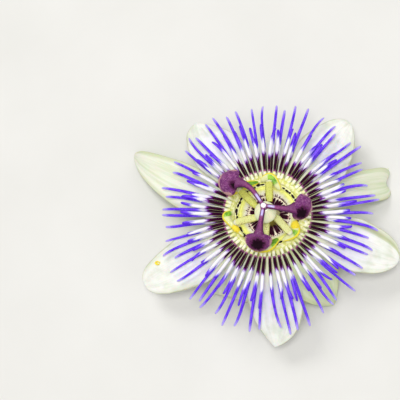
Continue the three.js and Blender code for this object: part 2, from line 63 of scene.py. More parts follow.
back = Vector((
    np.sin(CAMERA_TILT) * np.cos(CAMERA_SIDE),
    np.sin(CAMERA_TILT) * np.sin(CAMERA_SIDE),
    np.cos(CAMERA_TILT),
))
right = Vector((0, 1, 0)).cross(back).normalized()
facing = Matrix((right, back.cross(right), back)).transposed()
focal_pixels = PIXELS_PER_MM * CAMERA_DISTANCE * 1000
sight = Vector((*FOCUS_PIXEL, -focal_pixels))
turn_aside = sight.rotation_difference(Vector((0, 0, -1))).to_matrix()
focus = Vector((AXIS[0], AXIS[1], FOCUS_HEIGHT)) / 1000

camera_data = bpy.data.cameras.new("camera")
camera_data.sensor_width = SENSOR_WIDTH
camera_data.lens = SENSOR_WIDTH * focal_pixels / FRAME_WIDTH
camera_data.clip_start = 0.01
camera = bpy.data.objects.new("camera", camera_data)
bpy.context.scene.collection.objects.link(camera)
camera.matrix_world = Matrix.Translation(focus + back * CAMERA_DISTANCE) @ (facing @ turn_aside).to_4x4()
bpy.context.scene.camera = camera

# ---- Driving dimensions, in millimetres ----

RIM_HEIGHT = 15
RIM_TOP = 14.6
LEDGE_HEIGHT = 13.4
CUP_BASE = 6.5
CHAMBER_FLOOR = 9
SEAT_GAP = 0.3

STALK_RADIUS = 1.25
STALK_NODE_RADIUS = 1.9
STALK_BEND_RADIUS = 3.4
STALK_REACH = 23
STALK_AZIMUTH = 200
STALK_RIBS = 5

BLADE_ROOT_RADIUS = 12.3
PETAL_ROOT_HEIGHT = 13.65
SEPAL_ROOT_HEIGHT = 11.9
HORN_MIN_HEIGHT = 0.55

FILAMENTS = 58
THREADS = 44
LASHES = 40
UPPER_ROW_LIFT = 1.65

COLUMN_TOP = 23
STAMEN_ROOT_RADIUS = 3
STAMEN_ROOT_HEIGHT = 22.6
STAMEN_TIP_HEIGHT = 21.4
ANTHER_HEIGHT = 19.75
ANTHER_DROOP = 0.7
OVARY_RADIUS = 3.4
OVARY_BOW = [0.2, -1.3]
OVARY_HEIGHT = 4.9
STYLE_ROOT_HEIGHT = 29.3
STYLE_END_HEIGHT = 26.6
STIGMA_HALF_SIZE = [2.9, 4.2, 1.9]
STIGMA_HEIGHT = 25.4

# ---- Numbers and curves ----


def scatter(k, salt):
    """A repeatable scatter from -1 to 1 for item k: twice the fractional part of a large sine, less 1."""
    wave = np.sin(np.asarray(k, float) * 12.9898 + salt * 78.233) * 43758.5453
    return 2 * (wave - np.floor(wave)) - 1


def smooth(x):
    """The smooth step 3x^2 - 2x^3, with x held between 0 and 1."""
    x = np.clip(x, 0, 1)
    return x * x * (3 - 2 * x)


def bump(x, middle, width):
    """A bell curve: e to the minus square of the distance from its middle over its width."""
    return np.exp(-(((x - middle) / width) ** 2))


def polar(radius, azimuth, height, sideways=0.0):
    """The point at a radius, azimuth and height, moved sideways at right angles to the radius."""
    cos, sin = np.cos(np.radians(azimuth)), np.sin(np.radians(azimuth))
    x, y, z = np.broadcast_arrays(
        radius * cos - sideways * sin, radius * sin + sideways * cos, height
    )
    return np.stack([x, y, z], -1).astype(float)


def unit(vectors):
    """The vectors divided by their lengths."""
    return vectors / np.linalg.norm(vectors, axis=-1, keepdims=True)


def bezier(controls, s):
    """The points and unit tangents at the shares s of a Bezier curve. Each level of its control points
    is the blend (1 - s) a + s b of neighbours on the last, down to two points, which give both."""
    s = np.asarray(s, float)[:, None]
    level = [np.asarray(point, float) for point in controls]
    while len(level) > 2:
        level = [(1 - s) * a + s * b for a, b in zip(level, level[1:])]
    return (1 - s) * level[0] + s * level[1], unit(level[1] - level[0] + 0 * s)


def level_frame(along):
    """For unit tangents, the unit vectors level and at right angles to them, and upwards from both."""
    side = unit(np.cross([0, 0, 1], along))
    return side, np.cross(along, side)


def rounded(profile, times=2, closed=False):
    """The profile with its corners cut: each edge is replaced by its points at a quarter and three
    quarters, and this is repeated. An open profile keeps its two ends."""
    points = np.asarray(profile, float)
    for _ in range(times):
        following = np.roll(points, -1, 0) if closed else points[1:]
        start = points if closed else points[:-1]
        cut = np.stack([0.75 * start + 0.25 * following, 0.25 * start + 0.75 * following], 1)
        cut = cut.reshape(-1, 2)
        points = cut if closed else np.concatenate([points[:1], cut[1:-1], points[-1:]])
    return points


# ---- Shapes: points in millimetres, faces, and marks, which are numbers per point for the paint ----


class Shape:
    def __init__(self, points, faces, marks=None):
        self.points = points
        self.faces = faces
        self.marks = marks or {}


def together(shapes):
    """Several shapes as one, the faces counted on from shape to shape. A mark that a shape lacks is 0
    there."""
    starts = np.cumsum([0] + [len(shape.points) for shape in shapes])
    faces = [[k + int(start) for k in face] for shape, start in zip(shapes, starts) for face in shape.faces]
    names = sorted({name for shape in shapes for name in shape.marks})
    marks = {
        name: np.concatenate([shape.marks.get(name, np.zeros(len(shape.points))) for shape in shapes])
        for name in names
    }
    return Shape(np.concatenate([shape.points for shape in shapes]), faces, marks)


def loft(rings, **marks):
    """Closed bodies through rings: quads join each corner to the next corner and the next ring, and the
    mean point of the first and of the last ring closes the ends. The axes of rings are body, ring,
    corner and coordinate, and a mark is a number or numbers that spread over the first three."""
    bodies, count, corners, _ = rings.shape
    ends = rings[:, [0, -1]].mean(2)
    points = np.concatenate([rings.reshape(bodies, -1, 3), ends], 1)
    i, j = np.meshgrid(np.arange(count - 1), np.arange(corners), indexing="ij")
    a, b = i * corners + j, i * corners + (j + 1) % corners
    quads = np.stack([a, b, b + corners, a + corners], -1).reshape(-1, 4)
    near = np.arange(corners)
    far = (near + 1) % corners
    last = (count - 1) * corners
    pole = np.full(corners, count * corners)
    caps = np.concatenate([
        np.stack([far, near, pole], -1), np.stack([last + near, last + far, pole + 1], -1)
    ])
    jumps = (np.arange(bodies) * points.shape[1])[:, None, None]
    faces = (quads + jumps).reshape(-1, 4).tolist() + (caps + jumps).reshape(-1, 3).tolist()
    spread = {}
    for name, mark in marks.items():
        mark = np.broadcast_to(mark, (bodies, count, corners))
        closing = mark[:, [0, -1]].mean(2)
        spread[name] = np.concatenate([mark.reshape(bodies, -1), closing], 1).ravel()
    return Shape(points.reshape(-1, 3), faces, spread)


def turns(corners):
    """The cosine and sine of evenly spaced angles round a circle."""
    angle = 2 * np.pi * np.arange(corners) / corners
    return np.cos(angle), np.sin(angle)


def sections(centres, sides, ups, wide, high):
    """Rings of corners about the centres: centre + side * wide + up * high."""
    return centres[..., None, :] + wide[..., None] * sides[..., None, :] + high[..., None] * ups[..., None, :]


def tubes(centres, sides, ups, half_widths, half_heights, corners, **marks):
    """Rods of oval section: centre + side * halfWidth * cos(angle) + up * halfHeight * sin(angle).
    The marks side and top are cos(angle) and sin(angle)."""
    cos, sin = turns(corners)
    wide = np.broadcast_to(half_widths, centres.shape[:2])[..., None] * cos
    high = np.broadcast_to(half_heights, centres.shape[:2])[..., None] * sin
    marks = {name: np.asarray(mark)[..., None] for name, mark in marks.items()}
    return loft(sections(centres, sides, ups, wide, high), side=cos, top=sin, **marks)


def rod(controls, steps, corners, size, **marks):
    """One rod along a Bezier curve, its side level. size gives the half-width and half-height at s.
    The mark along is s."""
    s = np.linspace(0, 1, steps + 1)
    centres, along = bezier(controls, s)
    side, up = level_frame(along)
    return tubes(centres[None], side[None], up[None], *size(s), corners, along=s, **marks)


def turned(profile, segments, pleats, depth):
    """A body of revolution whose profile starts and ends on the axis, with folds in its wall: the
    radius is 1 + depth * cos(pleats * azimuth) times the profile's."""
    azimuth = np.linspace(0, 360, segments, endpoint=False)
    fold = 1 + depth * np.cos(pleats * np.radians(azimuth))
    radius, height = profile[1:-1, :, None].transpose(1, 0, 2)
    return loft(polar(radius * fold, azimuth, height)[None])


def turn_of(points):
    """The azimuth of the points, as a length round a circle of 6 mm."""
    return 6 * np.arctan2(points[..., 1], points[..., 0])


def turned_ring(profile, pleats, steps, depth=0.0, flute=0.0):
    """A ring of revolution from a closed profile with its corners cut, in steps for each pleat: the
    height rises by depth, and the radius by flute, times cos(pleats * azimuth)."""
    profile = rounded(profile, closed=True)
    rows, segments = len(profile), pleats * steps
    azimuth = np.linspace(0, 360, segments, endpoint=False)
    fold = np.cos(pleats * np.radians(azimuth))
    radius, height = profile[:, :, None].transpose(1, 0, 2)
    points = polar(radius + flute * fold, azimuth, height + depth * fold).reshape(-1, 3)
    i, j = np.meshgrid(np.arange(rows), np.arange(segments), indexing="ij")
    a, b = i * segments, ((i + 1) % rows) * segments
    near, far = j, (j + 1) % segments
    faces = np.stack([a + near, a + far, b + far, b + near], -1).reshape(-1, 4).tolist()
    return Shape(points, faces, {"turn": turn_of(points)})


def outward(points, faces):
    """The faces turned so that they point outwards: on a closed body, the volumes of the wedges from
    the origin to each face, cut into two triangles, add up to more than 0."""
    corners = points[np.array([face[:3] for face in faces])]
    fourth = points[np.array([face[-1] for face in faces])]
    wedge = np.einsum("ij,ij->i", corners[:, 0], np.cross(corners[:, 1], corners[:, 2]))
    wedge += np.einsum("ij,ij->i", corners[:, 0], np.cross(corners[:, 2], fourth))
    return faces if wedge.sum() > 0 else [face[::-1] for face in faces]


def add_piece(name, shape, paint):
    """Makes the shape a piece of the flower. Every piece also gets the marks out and height, the
    distance from the axis and from the table in millimetres."""
    mesh = bpy.data.meshes.new(name)
    mesh.from_pydata(((shape.points + AXIS) / 1000).tolist(), [], outward(shape.points, shape.faces))
    mesh.polygons.foreach_set("use_smooth", np.ones(len(mesh.polygons), bool))
    x, y, height = shape.points.T
    for mark, numbers in {"out": np.hypot(x, y), "height": height, **shape.marks}.items():
        attribute = mesh.attributes.new(mark, "FLOAT", "POINT")
        attribute.data.foreach_set("value", np.asarray(numbers, np.float32))
    mesh.materials.append(paint.material)
    mesh.update()
    piece = bpy.data.objects.new(name, mesh)
    bpy.context.scene.collection.objects.link(piece)
    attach(piece, "root")
    return piece


def dress(node, shape, paint):
    """Makes the shape the finished piece that stands for a node."""
    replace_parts(add_piece(f"{node}_dressed", shape, paint), node)


# ---- Paint ----


def colour(code):
    """A colour code such as #f2f4ef as linear red, green and blue, and full cover."""
    shares = np.array([int(code[k:k + 2], 16) for k in (1, 3, 5)]) / 255
    linear = np.where(shares <= 0.04045, shares / 12.92, ((shares + 0.055) / 1.055) ** 2.4)
    return (*linear.tolist(), 1.0)


class Value:
    """A shader socket that takes part in sums: each operator adds a Math node."""

    def __init__(self, paint, socket):
        self.paint = paint
        self.socket = socket

    def __add__(self, other):
        return self.paint.math("ADD", self, other)

    def __sub__(self, other):
        return self.paint.math("SUBTRACT", self, other)

    def __rsub__(self, other):
        return self.paint.math("SUBTRACT", other, self)

    def __mul__(self, other):
        return self.paint.math("MULTIPLY", self, other)

    def __abs__(self):
        return self.paint.math("ABSOLUTE", self)

    __radd__ = __add__
    __rmul__ = __mul__

    def step(self, low, high):
        """Rises smoothly from 0 at low to 1 at high, or falls where low is the higher."""
        inputs = {0: self, 1: float(low), 2: float(high)}
        if low > high:
            inputs = {0: self, 1: float(high), 2: float(low), 3: 1.0, 4: 0.0}
        return self.paint.node("ShaderNodeMapRange", {"interpolation_type": "SMOOTHSTEP"}, inputs)


class Paint:
    """One finish of the flower, on a Principled shader whose fixed settings are given by socket. Its
    place is the place on the piece in millimetres."""

    def __init__(self, name, settings=None):
        self.material = bpy.data.materials.new(name)
        self.material.use_nodes = True
        self.tree = self.material.node_tree
        self.shader = self.tree.nodes["Principled BSDF"]
        self.feed(self.shader, settings or {})
        spot = self.node("ShaderNodeTexCoord", {}, {}, "Object")
        self.place = self.node("ShaderNodeVectorMath", {"operation": "SCALE"}, {0: spot, "Scale": 1000.0})

    def feed(self, node, inputs):
        """Gives a node's sockets their values, colour codes or links."""
        for key, value in inputs.items():
            if isinstance(value, Value):
                self.tree.links.new(value.socket, node.inputs[key])
            else:
                node.inputs[key].default_value = colour(value) if isinstance(value, str) else value

    def node(self, kind, settings, inputs, output=0):
        """Adds a node: its settings first, then what its sockets get."""
        node = self.tree.nodes.new(kind)
        for key, value in settings.items():
            setattr(node, key, value)
        self.feed(node, inputs)
        return Value(self, node.outputs[output])

    def math(self, operation, *numbers):
        """The result of a Math node."""
        return self.node("ShaderNodeMath", {"operation": operation}, dict(enumerate(numbers)))

    def marks(self, *names):
        """The marks of the piece, as its points carry them."""
        return [self.node("ShaderNodeAttribute", {"attribute_name": name}, {}, "Fac") for name in names]

    def noise(self, along=None, size=1.0, detail=2.0):
        """Cloudy noise, about 0.5, with blotches of that size. It follows the place, or three other
        numbers where they are given."""
        vector = self.place
        if along:
            vector = self.node("ShaderNodeCombineXYZ", {}, dict(enumerate(along)))
        return self.node("ShaderNodeTexNoise", {}, {"Vector": vector, "Scale": 1 / size, "Detail": detail})

    def mix(self, share, first, second):
        """The first colour at share 0 and the second at share 1."""
        settings = {"data_type": "RGBA", "clamp_factor": True}
        return self.node("ShaderNodeMix", settings, {0: share, 6: first, 7: second}, 2)

    def coats(self, base, *coats):
        """The base colour under its coats, each a share and a colour that is mixed over those below."""
        for share, coat in coats:
            base = self.mix(share, base, coat)
        return base

    def finish(self, base, roughness, height=None, depth=0.1, painted_glow=None):
        """Feeds the shader. height is a relief from 0 to 1 that is depth millimetres deep. The last argument
        is the share of the colour that goes to the emission, on pieces with an emission strength: painted
        light that brightens them where shade falls."""
        fed = {"Base Color": base, "Roughness": roughness}
        if height is not None:
            fed["Normal"] = self.node("ShaderNodeBump", {}, {"Height": height, "Distance": depth / 1000})
        if painted_glow is not None:
            # Emission from the piece's own colour: painted light, since the piece is no lamp.
            fed["Emission Color"] = self.mix(painted_glow, "#000000", base)
        self.feed(self.shader, fed)
        return self


def petal_paint():
    """White with soft greenish clouds and faint long veins, a yellowish root and a thin olive edge.
    The second petal also has an olive band of painted shade along one side; the blade itself is not
    rolled. Near the root, where the corona shades it, the upper face glows a little: painted light."""
    # The emission strength makes part of the petal glow: painted light.
    paint = Paint("petal", {"Subsurface Weight": 0.15, "Subsurface Scale": 0.001, "Emission Strength": 0.3})
    across, along, own, out, face = paint.marks("across", "along", "own", "out", "face")
    streaks = paint.noise([across * 3.5, along * 1.1, own * 9], detail=3)
    veins = paint.noise([across * 26, along * 1.8, own * 9])
    clouds = paint.noise(size=4.5, detail=4)
    fine = paint.noise(size=0.25)
    second = abs(own - 2).step(0.6, 0.2)
    # Painted shade: an olive band along one side of the second petal, where a rolled edge would shade it.
    painted_fold_shade = abs(across + (streaks - 0.5) * 0.2 - 0.78).step(0.2, 0) * second
    edge = (abs(across) + (clouds - 0.5) * 0.1).step(0.93, 0.99)
    base = paint.coats(
        "#f4f5ee",
        ((streaks * 0.45 + clouds * 0.55).step(0.44, 0.64) * 0.75, "#d3dac6"),
        (veins.step(0.56, 0.72) * 0.25, "#c6cfb4"),
        (abs(across).step(0.55, 0.95) * 0.45, "#dbe0c8"),
        # The olive band here is painted shade.
        (painted_fold_shade * 0.8, "#b5be86"),
        (edge * 0.6, "#a9af7c"),
        (along.step(0.5, 0.15) * 0.7, "#e4e9bb"),
    )
    # Painted light: the upper face glows near the root, where the corona shades it.
    painted_light_under_corona = out.step(22, 16) * face.step(0, 0.5)
    return paint.finish(base, 0.5 + clouds * 0.2, veins * 0.75 + fine * 0.25, 0.12, painted_light_under_corona)


def sepal_paint():
    """Pale green inside with faint veins, greener on the second sepal, less on the first and third, and
    towards the edges, and leaf green outside. The tint on those sepals is partly their own colour and
    partly painted shade. Near the root, where the corona shades it, the inside glows a little: painted
    light."""
    # The emission strength makes part of the sepal glow: painted light.
    paint = Paint("sepal", {"Subsurface Weight": 0.2, "Subsurface Scale": 0.001, "Emission Strength": 0.3})
    across, along, own, out, face = paint.marks("across", "along", "own", "out", "face")
    streaks = paint.noise([across * 4, along * 1.4, own * 5], detail=3)
    veins = paint.noise([across * 22, along * 2.4, own * 5], detail=3)
    clouds = paint.noise(size=4, detail=3)
    fine = paint.noise(size=0.3)
    inside = paint.coats(
        "#f1f3e2",
        (streaks.step(0.4, 0.66), "#dde5c5"),
        # Partly painted shade: a darker green tint, strongest on the second sepal.
        (abs(own - 2).step(1.6, 0) * 0.4, "#bfd084"),
        (abs(across).step(0.7, 1) * 0.55, "#c6d09a"),
        (abs(across).step(0.95, 1) * 0.5, "#9fa968"),
        (veins.step(0.55, 0.72) * 0.22, "#bccb9a"),
    )
    outside = paint.coats(
        "#a9c07c",
        (clouds.step(0.35, 0.7), "#86a556"),
        (veins.step(0.5, 0.68) * 0.5, "#6c8c40"),
        (abs(across).step(0.2, 0.05) * 0.5, "#6f9044"),
    )
    outer = face.step(0.15, -0.35)
    base = paint.mix(outer, inside, outside)
    # Painted light: the inside glows near the root, where the corona shades it.
    painted_light_under_corona = out.step(22, 16) * (1 - outer)
    return paint.finish(base, 0.45 + clouds * 0.2, veins * 0.7 + fine * 0.3, 0.2, painted_light_under_corona)


def leaf_paint():
    """Leaf green with a pale midrib and arched side veins, and a purplish tinge."""
    paint = Paint("bract_leaf", {"Subsurface Weight": 0.1, "Subsurface Scale": 0.0006})
    across, along, own = paint.marks("across", "along", "own")
    clouds = paint.noise(size=3, detail=3)
    tinge = paint.noise([across * 1.5, along * 2, own * 3])
    net = paint.node("ShaderNodeTexVoronoi", {}, {"Vector": paint.place, "Scale": 1 / 0.9})
    rungs = paint.math("FRACT", along * 6 - abs(across) * 1.6 + clouds * 0.3)
    side_veins = abs(rungs - 0.5).step(0.1, 0)
    midrib = abs(across).step(0.09, 0.02)
    base = paint.coats(
        "#8fb05e",
        (clouds, "#a9c37a"),
        (net.step(0.35, 0.6) * 0.3, "#c4d79c"),
        (paint.math("MAXIMUM", side_veins * 0.6, midrib), "#cadca0"),
        (tinge.step(0.5, 0.75) * 0.5, "#a8828c"),
    )
    relief = paint.math("MAXIMUM", side_veins, midrib) * 0.7 + net * 0.3
    return paint.finish(base, 0.4 + clouds * 0.2, relief, 0.2)


def stalk_paint():
    """Green with a purple flush in lengthwise streaks, and a pale pith on the cut end."""
    paint = Paint("stalk", {"Coat Weight": 0.1})
    top, along, cut = paint.marks("top", "along", "cut")
    streaks = paint.noise([top * 2.5, along * 3, 0.0], detail=3)
    speckles = paint.noise(size=0.35)
    base = paint.coats(
        "#7f9c4a",
        (streaks, "#a5b86a"),
        (streaks.step(0.5, 0.7) * 0.6, "#84566a"),
        (speckles.step(0.6, 0.75) * 0.4, "#c8d49a"),
        (cut.step(0.5, 0.9), "#d9dfae"),
    )
    return paint.finish(base, 0.45 + speckles * 0.15, streaks * 0.6 + speckles * 0.4, 0.15)


def cup_paint():
    """Green outside, and cream at the rim and in the chamber, with pinkish clouds."""
    paint = Paint("cup", {"Subsurface Weight": 0.1, "Subsurface Scale": 0.0008})
    out, height = paint.marks("out", "height")
    clouds = paint.noise(size=2.2, detail=3)
    speckles = paint.noise(size=0.5)
    chamber = out.step(8.8, 8.2) * height.step(8.7, 9)
    base = paint.coats(
        "#8aa852",
        (clouds, "#a4bd70"),
        (height.step(9.5, 13.8) * 0.9, "#dfe3b4"),
        (chamber, "#f6f2cf"),
        (chamber * clouds.step(0.45, 0.65) * 0.5, "#e9c9b8"),
    )
    return paint.finish(base, 0.45 + clouds * 0.2, speckles, 0.12)


def filament_paint():
    """Banded by the distance out: a cream foot, dark purple that ends in a jagged violet fringe, white,
    and blue-violet that starts in streaks. The upper row turns blue later and stays dark to its blunt
    ends, and the lower row pales at its tips. The dark bars have pale sides: painted light for the lit
    petals that show in the gaps between them."""
    paint = Paint(
        "corona", {"Subsurface Weight": 0.05, "Subsurface Scale": 0.0004, "Specular IOR Level": 0.06}
    )
    out, top, side, share = paint.marks("out", "top", "side", "share")
    own, other, upper, turn = paint.marks("own", "other", "upper", "turn")
    streaks = paint.noise([side * 1.3 + own * 9, top * 1.3, out * 0.3], detail=3)
    grain = paint.noise(size=0.35, detail=3)
    blotch = paint.noise(size=1.2)
    mottle = paint.noise([turn, out * 0.5, 0.0], size=0.55)
    level = out + (streaks - 0.5) * 5.2 + (grain - 0.5) * 0.8
    past_dark = level - (17.8 + own * 1.3)
    past_white = level - (21.7 + other * 1.5 + upper * 1.6)
    foot = out + (grain - 0.5) * 0.6 - side * side * 0.25
    tip = (share + (grain - 0.5) * 0.1).step(0.86, 1)
    blue = paint.coats(
        "#8356ff",
        (streaks.step(0.38, 0.62), "#5a28e4"),
        (grain.step(0.54, 0.68) * 0.4, "#a48cff"),
        (tip * (1 - upper) * 0.8, "#c9bcff"),
        (tip * upper * 0.5, "#4f20d2"),
    )
    # Painted light: pale sides on the dark bars stand for lit petals seen in the gaps between them.
    dark = paint.coats("#1c0315", (blotch, "#3f0a33"), (abs(side).step(0.8, 0.93) * 0.9, "#e2e6ae"))
    cream = paint.coats(
        "#fbfbe6", (blotch.step(0.42, 0.62), "#eef0aa"), (top.step(0.55, 0.1) * 0.85, "#cccf68")
    )
    base = paint.coats(
        "#faf9fd",
        (streaks.step(0.4, 0.62) * 0.5, "#dcd8f0"),
        (past_white.step(-0.7, 1.1), blue),
        (past_dark.step(1.5, 0.7) * 0.75, "#b79aea"),
        (past_dark.step(0.95, 0.3), "#7b1f9c"),
        (past_dark.step(0.3, -0.3), dark),
        (foot.step(14.3, 13.7), "#a85f92"),
        (foot.step(13.7, 13.3), cream),
        (foot.step(11.9, 11.5), paint.mix(mottle.step(0.42, 0.58), "#f6f6c8", "#dfe184")),
    )
    return paint.finish(base, 0.65 + grain * 0.25, streaks * 0.6 + grain * 0.4, 0.1)


def thread_paint():
    """A cream ring with nearly black purple heads on it. The ring glows a little: painted light in the
    shaded trenches beside it.
    """
    # The emission strength makes the cream ring glow: painted light in the shaded trenches.
    paint = Paint("corona_thread", {"Specular IOR Level": 0.15, "Emission Strength": 0.12})
    [head] = paint.marks("head")
    grain = paint.noise(size=0.4)
    blotch = paint.noise(size=0.9, detail=3)
    cream = paint.mix(blotch.step(0.4, 0.62), "#f5f5c4", "#e4e583")
    dark = paint.mix(grain, "#0c0509", "#2b1322")
    base = paint.mix(head.step(0.4, 0.6), cream, dark)
    # Painted light: the ring glows, the heads do not.
    return paint.finish(base, 0.4 + grain * 0.25, grain, 0.1, 1 - head)


def lash_paint():
    """Lashes that run from a pinkish white root to a nearly black tip, and a web that turns from cream
    to mauve. Their outer parts glow a little: painted light in the shaded chamber."""
    # The emission strength makes the lashes and web glow: painted light in the shaded chamber.
    paint = Paint("operculum_lash", {"Specular IOR Level": 0.08, "Emission Strength": 0.25})
    out, own, web = paint.marks("out", "own", "web")
    grain = paint.noise(size=0.5)
    level = out + (grain - 0.5) * 0.9 + own * 0.3
    lashes = paint.coats(
        "#1c0412", (grain, "#3d0c28"), (level.step(5.9, 6.3), "#a5647c"), (level.step(6.2, 6.7), "#f3e3d8")
    )
    between = paint.mix(level.step(5.6, 4) * 0.85, "#f8eed8", "#96566f")
    # Painted light: the outer parts of the lashes and web glow.
    return paint.finish(
        paint.mix(web, lashes, between), 0.45 + grain * 0.2, grain, 0.1, level.step(3, 5)
    )


def membrane_paint():
    """Yellow on the outer ridge and whitish on the inner slope, with fine pleats, and dark strokes on
    a pink ground near the inner edge. All but its outer lip glows a little: painted light in the shaded
    recess."""
    # The emission strength makes the membrane glow: painted light in the shaded recess.
    paint = Paint("operculum_membrane", {"Specular IOR Level": 0.3, "Emission Strength": 0.2})
    out, turn = paint.marks("out", "turn")
    clouds = paint.noise(size=1.2, detail=3)
    pleats = paint.noise([turn, out * 0.25, 0.0], size=0.7)
    strokes = paint.noise([turn, out * 0.12, 0.0], size=0.42)
    level = out + (clouds - 0.5) * 0.9
    dark = (strokes + (level - 6.9) * -0.12).step(0.5, 0.56) * level.step(7.35, 7)
    base = paint.coats(
        "#fdfbe8",
        (level.step(7.2, 7.8), "#f5f5c4"),
        (level.step(7.7, 8.3), "#ecee84"),
        (pleats.step(0.5, 0.66) * 0.4, "#d6d774"),
        (level.step(7.2, 6.8) * 0.6, "#f6e0d2"),
        (dark, "#4a1533"),
    )
    # Painted light: all but the outer lip glows.
    return paint.finish(base, 0.4 + clouds * 0.2, pleats, 0.12, level.step(9.4, 9))


def column_paint():
    """Olive yellow with darker speckles, and darker towards the chamber."""
    paint = Paint("column", {"Coat Weight": 0.1})
    [height] = paint.marks("height")
    speckles = paint.noise(size=0.35, detail=3)
    clouds = paint.noise(size=1.6)
    base = paint.coats(
        "#c9c654",
        (clouds, "#a9a23c"),
        (speckles.step(0.58, 0.72) * 0.5, "#86762c"),
        (height.step(14, 10) * 0.6, "#5b3a34"),
    )
    return paint.finish(base, 0.4 + clouds * 0.15, speckles, 0.1)


def stamen_paint():
    """Greenish yellow straps with olive speckles along the edges and whitish tips. Some are pale."""
    paint = Paint("stamen", {"Subsurface Weight": 0.12, "Subsurface Scale": 0.0006})
    side, along, pale = paint.marks("side", "along", "pale")
    speckles = paint.noise(size=0.28)
    clouds = paint.noise(size=1.2, detail=3)
    edge = abs(side).step(0.66, 0.92)
    base = paint.coats(
        "#dcde6e",
        (clouds, "#c9cd58"),
        (pale, "#e9eba6"),
        ((speckles + edge * 0.16).step(0.56, 0.68) * 0.75, "#948426"),
        (along.step(0.86, 0.98) * 0.7, "#f6f4e6"),
    )
    return paint.finish(base, 0.42 + clouds * 0.15, speckles, 0.1)


def anther_paint():
    """A green back where the piece is marked green, cream beside it, a bright yellow line where the
    piece is marked as edge, and yellow below."""
    paint = Paint("anther", {"Coat Weight": 0.12})
    top, side, along, marked, edge = paint.marks("top", "side", "along", "green", "edge")
    grain = paint.noise(size=0.22)
    clouds = paint.noise(size=1, detail=3)
    aside = abs(side) + (grain - 0.5) * 0.2
    green = paint.coats(
        "#a0d634",
        (clouds.step(0.4, 0.62), "#62a30a"),
        (abs(along - 0.5).step(0.2, 0.42) * 0.6, "#4a8a08"),
    )
    lip = paint.mix(grain.step(0.4, 0.65), "#fff23c", "#fbe226")
    line = (edge + (grain - 0.5) * 0.12).step(0.66, 0.76)
    base = paint.coats(
        "#f6f7cc",
        (clouds, "#e0e486"),
        (marked * aside.step(0.95, 0.75), green),
        (paint.math("MAXIMUM", line, top.step(0.15, -0.05)), lip),
    )
    return paint.finish(base, 0.4 + grain * 0.3, grain, 0.12)


def pollen_paint():
    """Bright yellow grains."""
    paint = Paint("pollen", {"Sheen Weight": 0.1})
    grain = paint.noise(size=0.15)
    base = paint.mix(grain.step(0.35, 0.65), "#fff14a", "#ffe42c")
    return paint.finish(base, 0.6 + grain * 0.3, grain, 0.06)


def ovary_paint():
    """Glossy cream green with faint lengthwise lines, and greener towards the column."""
    paint = Paint("ovary", {"Subsurface Weight": 0.15, "Subsurface Scale": 0.001, "Coat Weight": 0.15})
    turn, height = paint.marks("turn", "height")
    lines = paint.noise([turn, height * 0.15, 0.0], size=0.5)
    speckles = paint.noise(size=0.3)
    base = paint.coats(
        "#f4f5cf",
        (lines.step(0.45, 0.68) * 0.5, "#d9de9a"),
        (height.step(26.4, 24) * 0.8, "#c3c463"),
        (speckles.step(0.6, 0.72) * 0.25, "#c3cba0"),
    )
    return paint.finish(base, 0.35 + speckles * 0.15, lines * 0.5 + speckles * 0.5, 0.08)


def style_paint():
    """Plum, with a pinkish painted highlight along the top that turns greyer towards the stigma, painted
    shade on the flanks and underside, light specks, and a painted lavender highlight by the root.
    """
    paint = Paint("style", {"Coat Weight": 0.06, "Specular IOR Level": 0.2})
    top, along = paint.marks("top", "along")
    specks = paint.noise(size=0.3, detail=3)
    clouds = paint.noise(size=0.8)
    # Painted highlight along the top of the style.
    crest = (top + (clouds - 0.5) * 0.5).step(0.72, 0.98)
    # Painted highlight: a lavender-white patch on top near the root.
    painted_gleam = top.step(0.8, 0.95) * abs(along - 0.17).step(0.13, 0.05)
    base = paint.coats(
        "#5a1f53",
        (clouds, "#7a3069"),
        # Painted highlight, pinkish, turning greyer towards the stigma.
        (crest * 0.6, "#a8568c"),
        (along.step(0.5, 0.8) * crest * 0.7, "#73426e"),
        # Painted shade: the flanks and underside darken.
        (top.step(0.7, 0.15) * 0.9, "#3c0d3c"),
        (specks.step(0.58, 0.7) * 0.3, "#c28ac2"),
        (specks.step(0.42, 0.32) * 0.5, "#4f1c55"),
        (painted_gleam * 0.9, "#cfc4ff"),
    )
    return paint.finish(base, 0.35 + specks * 0.25, specks, 0.1)


def stigma_paint():
    """Pink violet with specks, painted shade that darkens the hollow, and a cream-pink outer rim."""
    paint = Paint("stigma", {"Specular IOR Level": 0.08})
    rim, hollow = paint.marks("rim", "hollow")
    specks = paint.noise(size=0.3, detail=3)
    clouds = paint.noise(size=1, detail=3)
    mottle = paint.noise(size=0.55, detail=3)
    depth = hollow + (clouds - 0.5) * 0.5 + (mottle - 0.5) * 0.9
    base = paint.coats(
        "#6e2f6c",
        (clouds.step(0.35, 0.65), "#8f4d84"),
        (mottle.step(0.5, 0.64) * 0.45, "#b87fac"),
        (specks.step(0.46, 0.34) * 0.7, "#46133f"),
        ((rim + (mottle - 0.5) * 0.8).step(0.36, 0.85) * 0.85, "#d2a39c"),
        # Painted shade: the hollow darkens towards its deepest part.
        (depth.step(0.1, 0.5) * 0.75, "#4b1238"),
        (depth.step(0.4, 0.8), "#1c0414"),
    )
    return paint.finish(base, 0.45 + specks * 0.25, specks * 0.6 + clouds * 0.4, 0.25)


def nub_paint():
    """A painted highlight: white on top, with a purple edge."""
    paint = Paint("style_nub", {"Coat Weight": 0.2})
    [out] = paint.marks("out")
    grain = paint.noise(size=0.3)
    # Painted highlight: white on top of the knob.
    white = (out + (grain - 0.5) * 0.25).step(0.95, 0.6)
    return paint.finish(paint.mix(white, "#8d3f8c", "#fffdff"), 0.3 + grain * 0.2, grain, 0.05)


def floor_paint():
    """Pale warm grey with a very faint mottle."""
    paint = Paint("tabletop")
    clouds = paint.noise(size=40, detail=4)
    return paint.finish(paint.mix(clouds, "#e9e8e4", "#dddcd7"), 0.6 + clouds * 0.2)


# ---- Stalk, bracts and cup ----


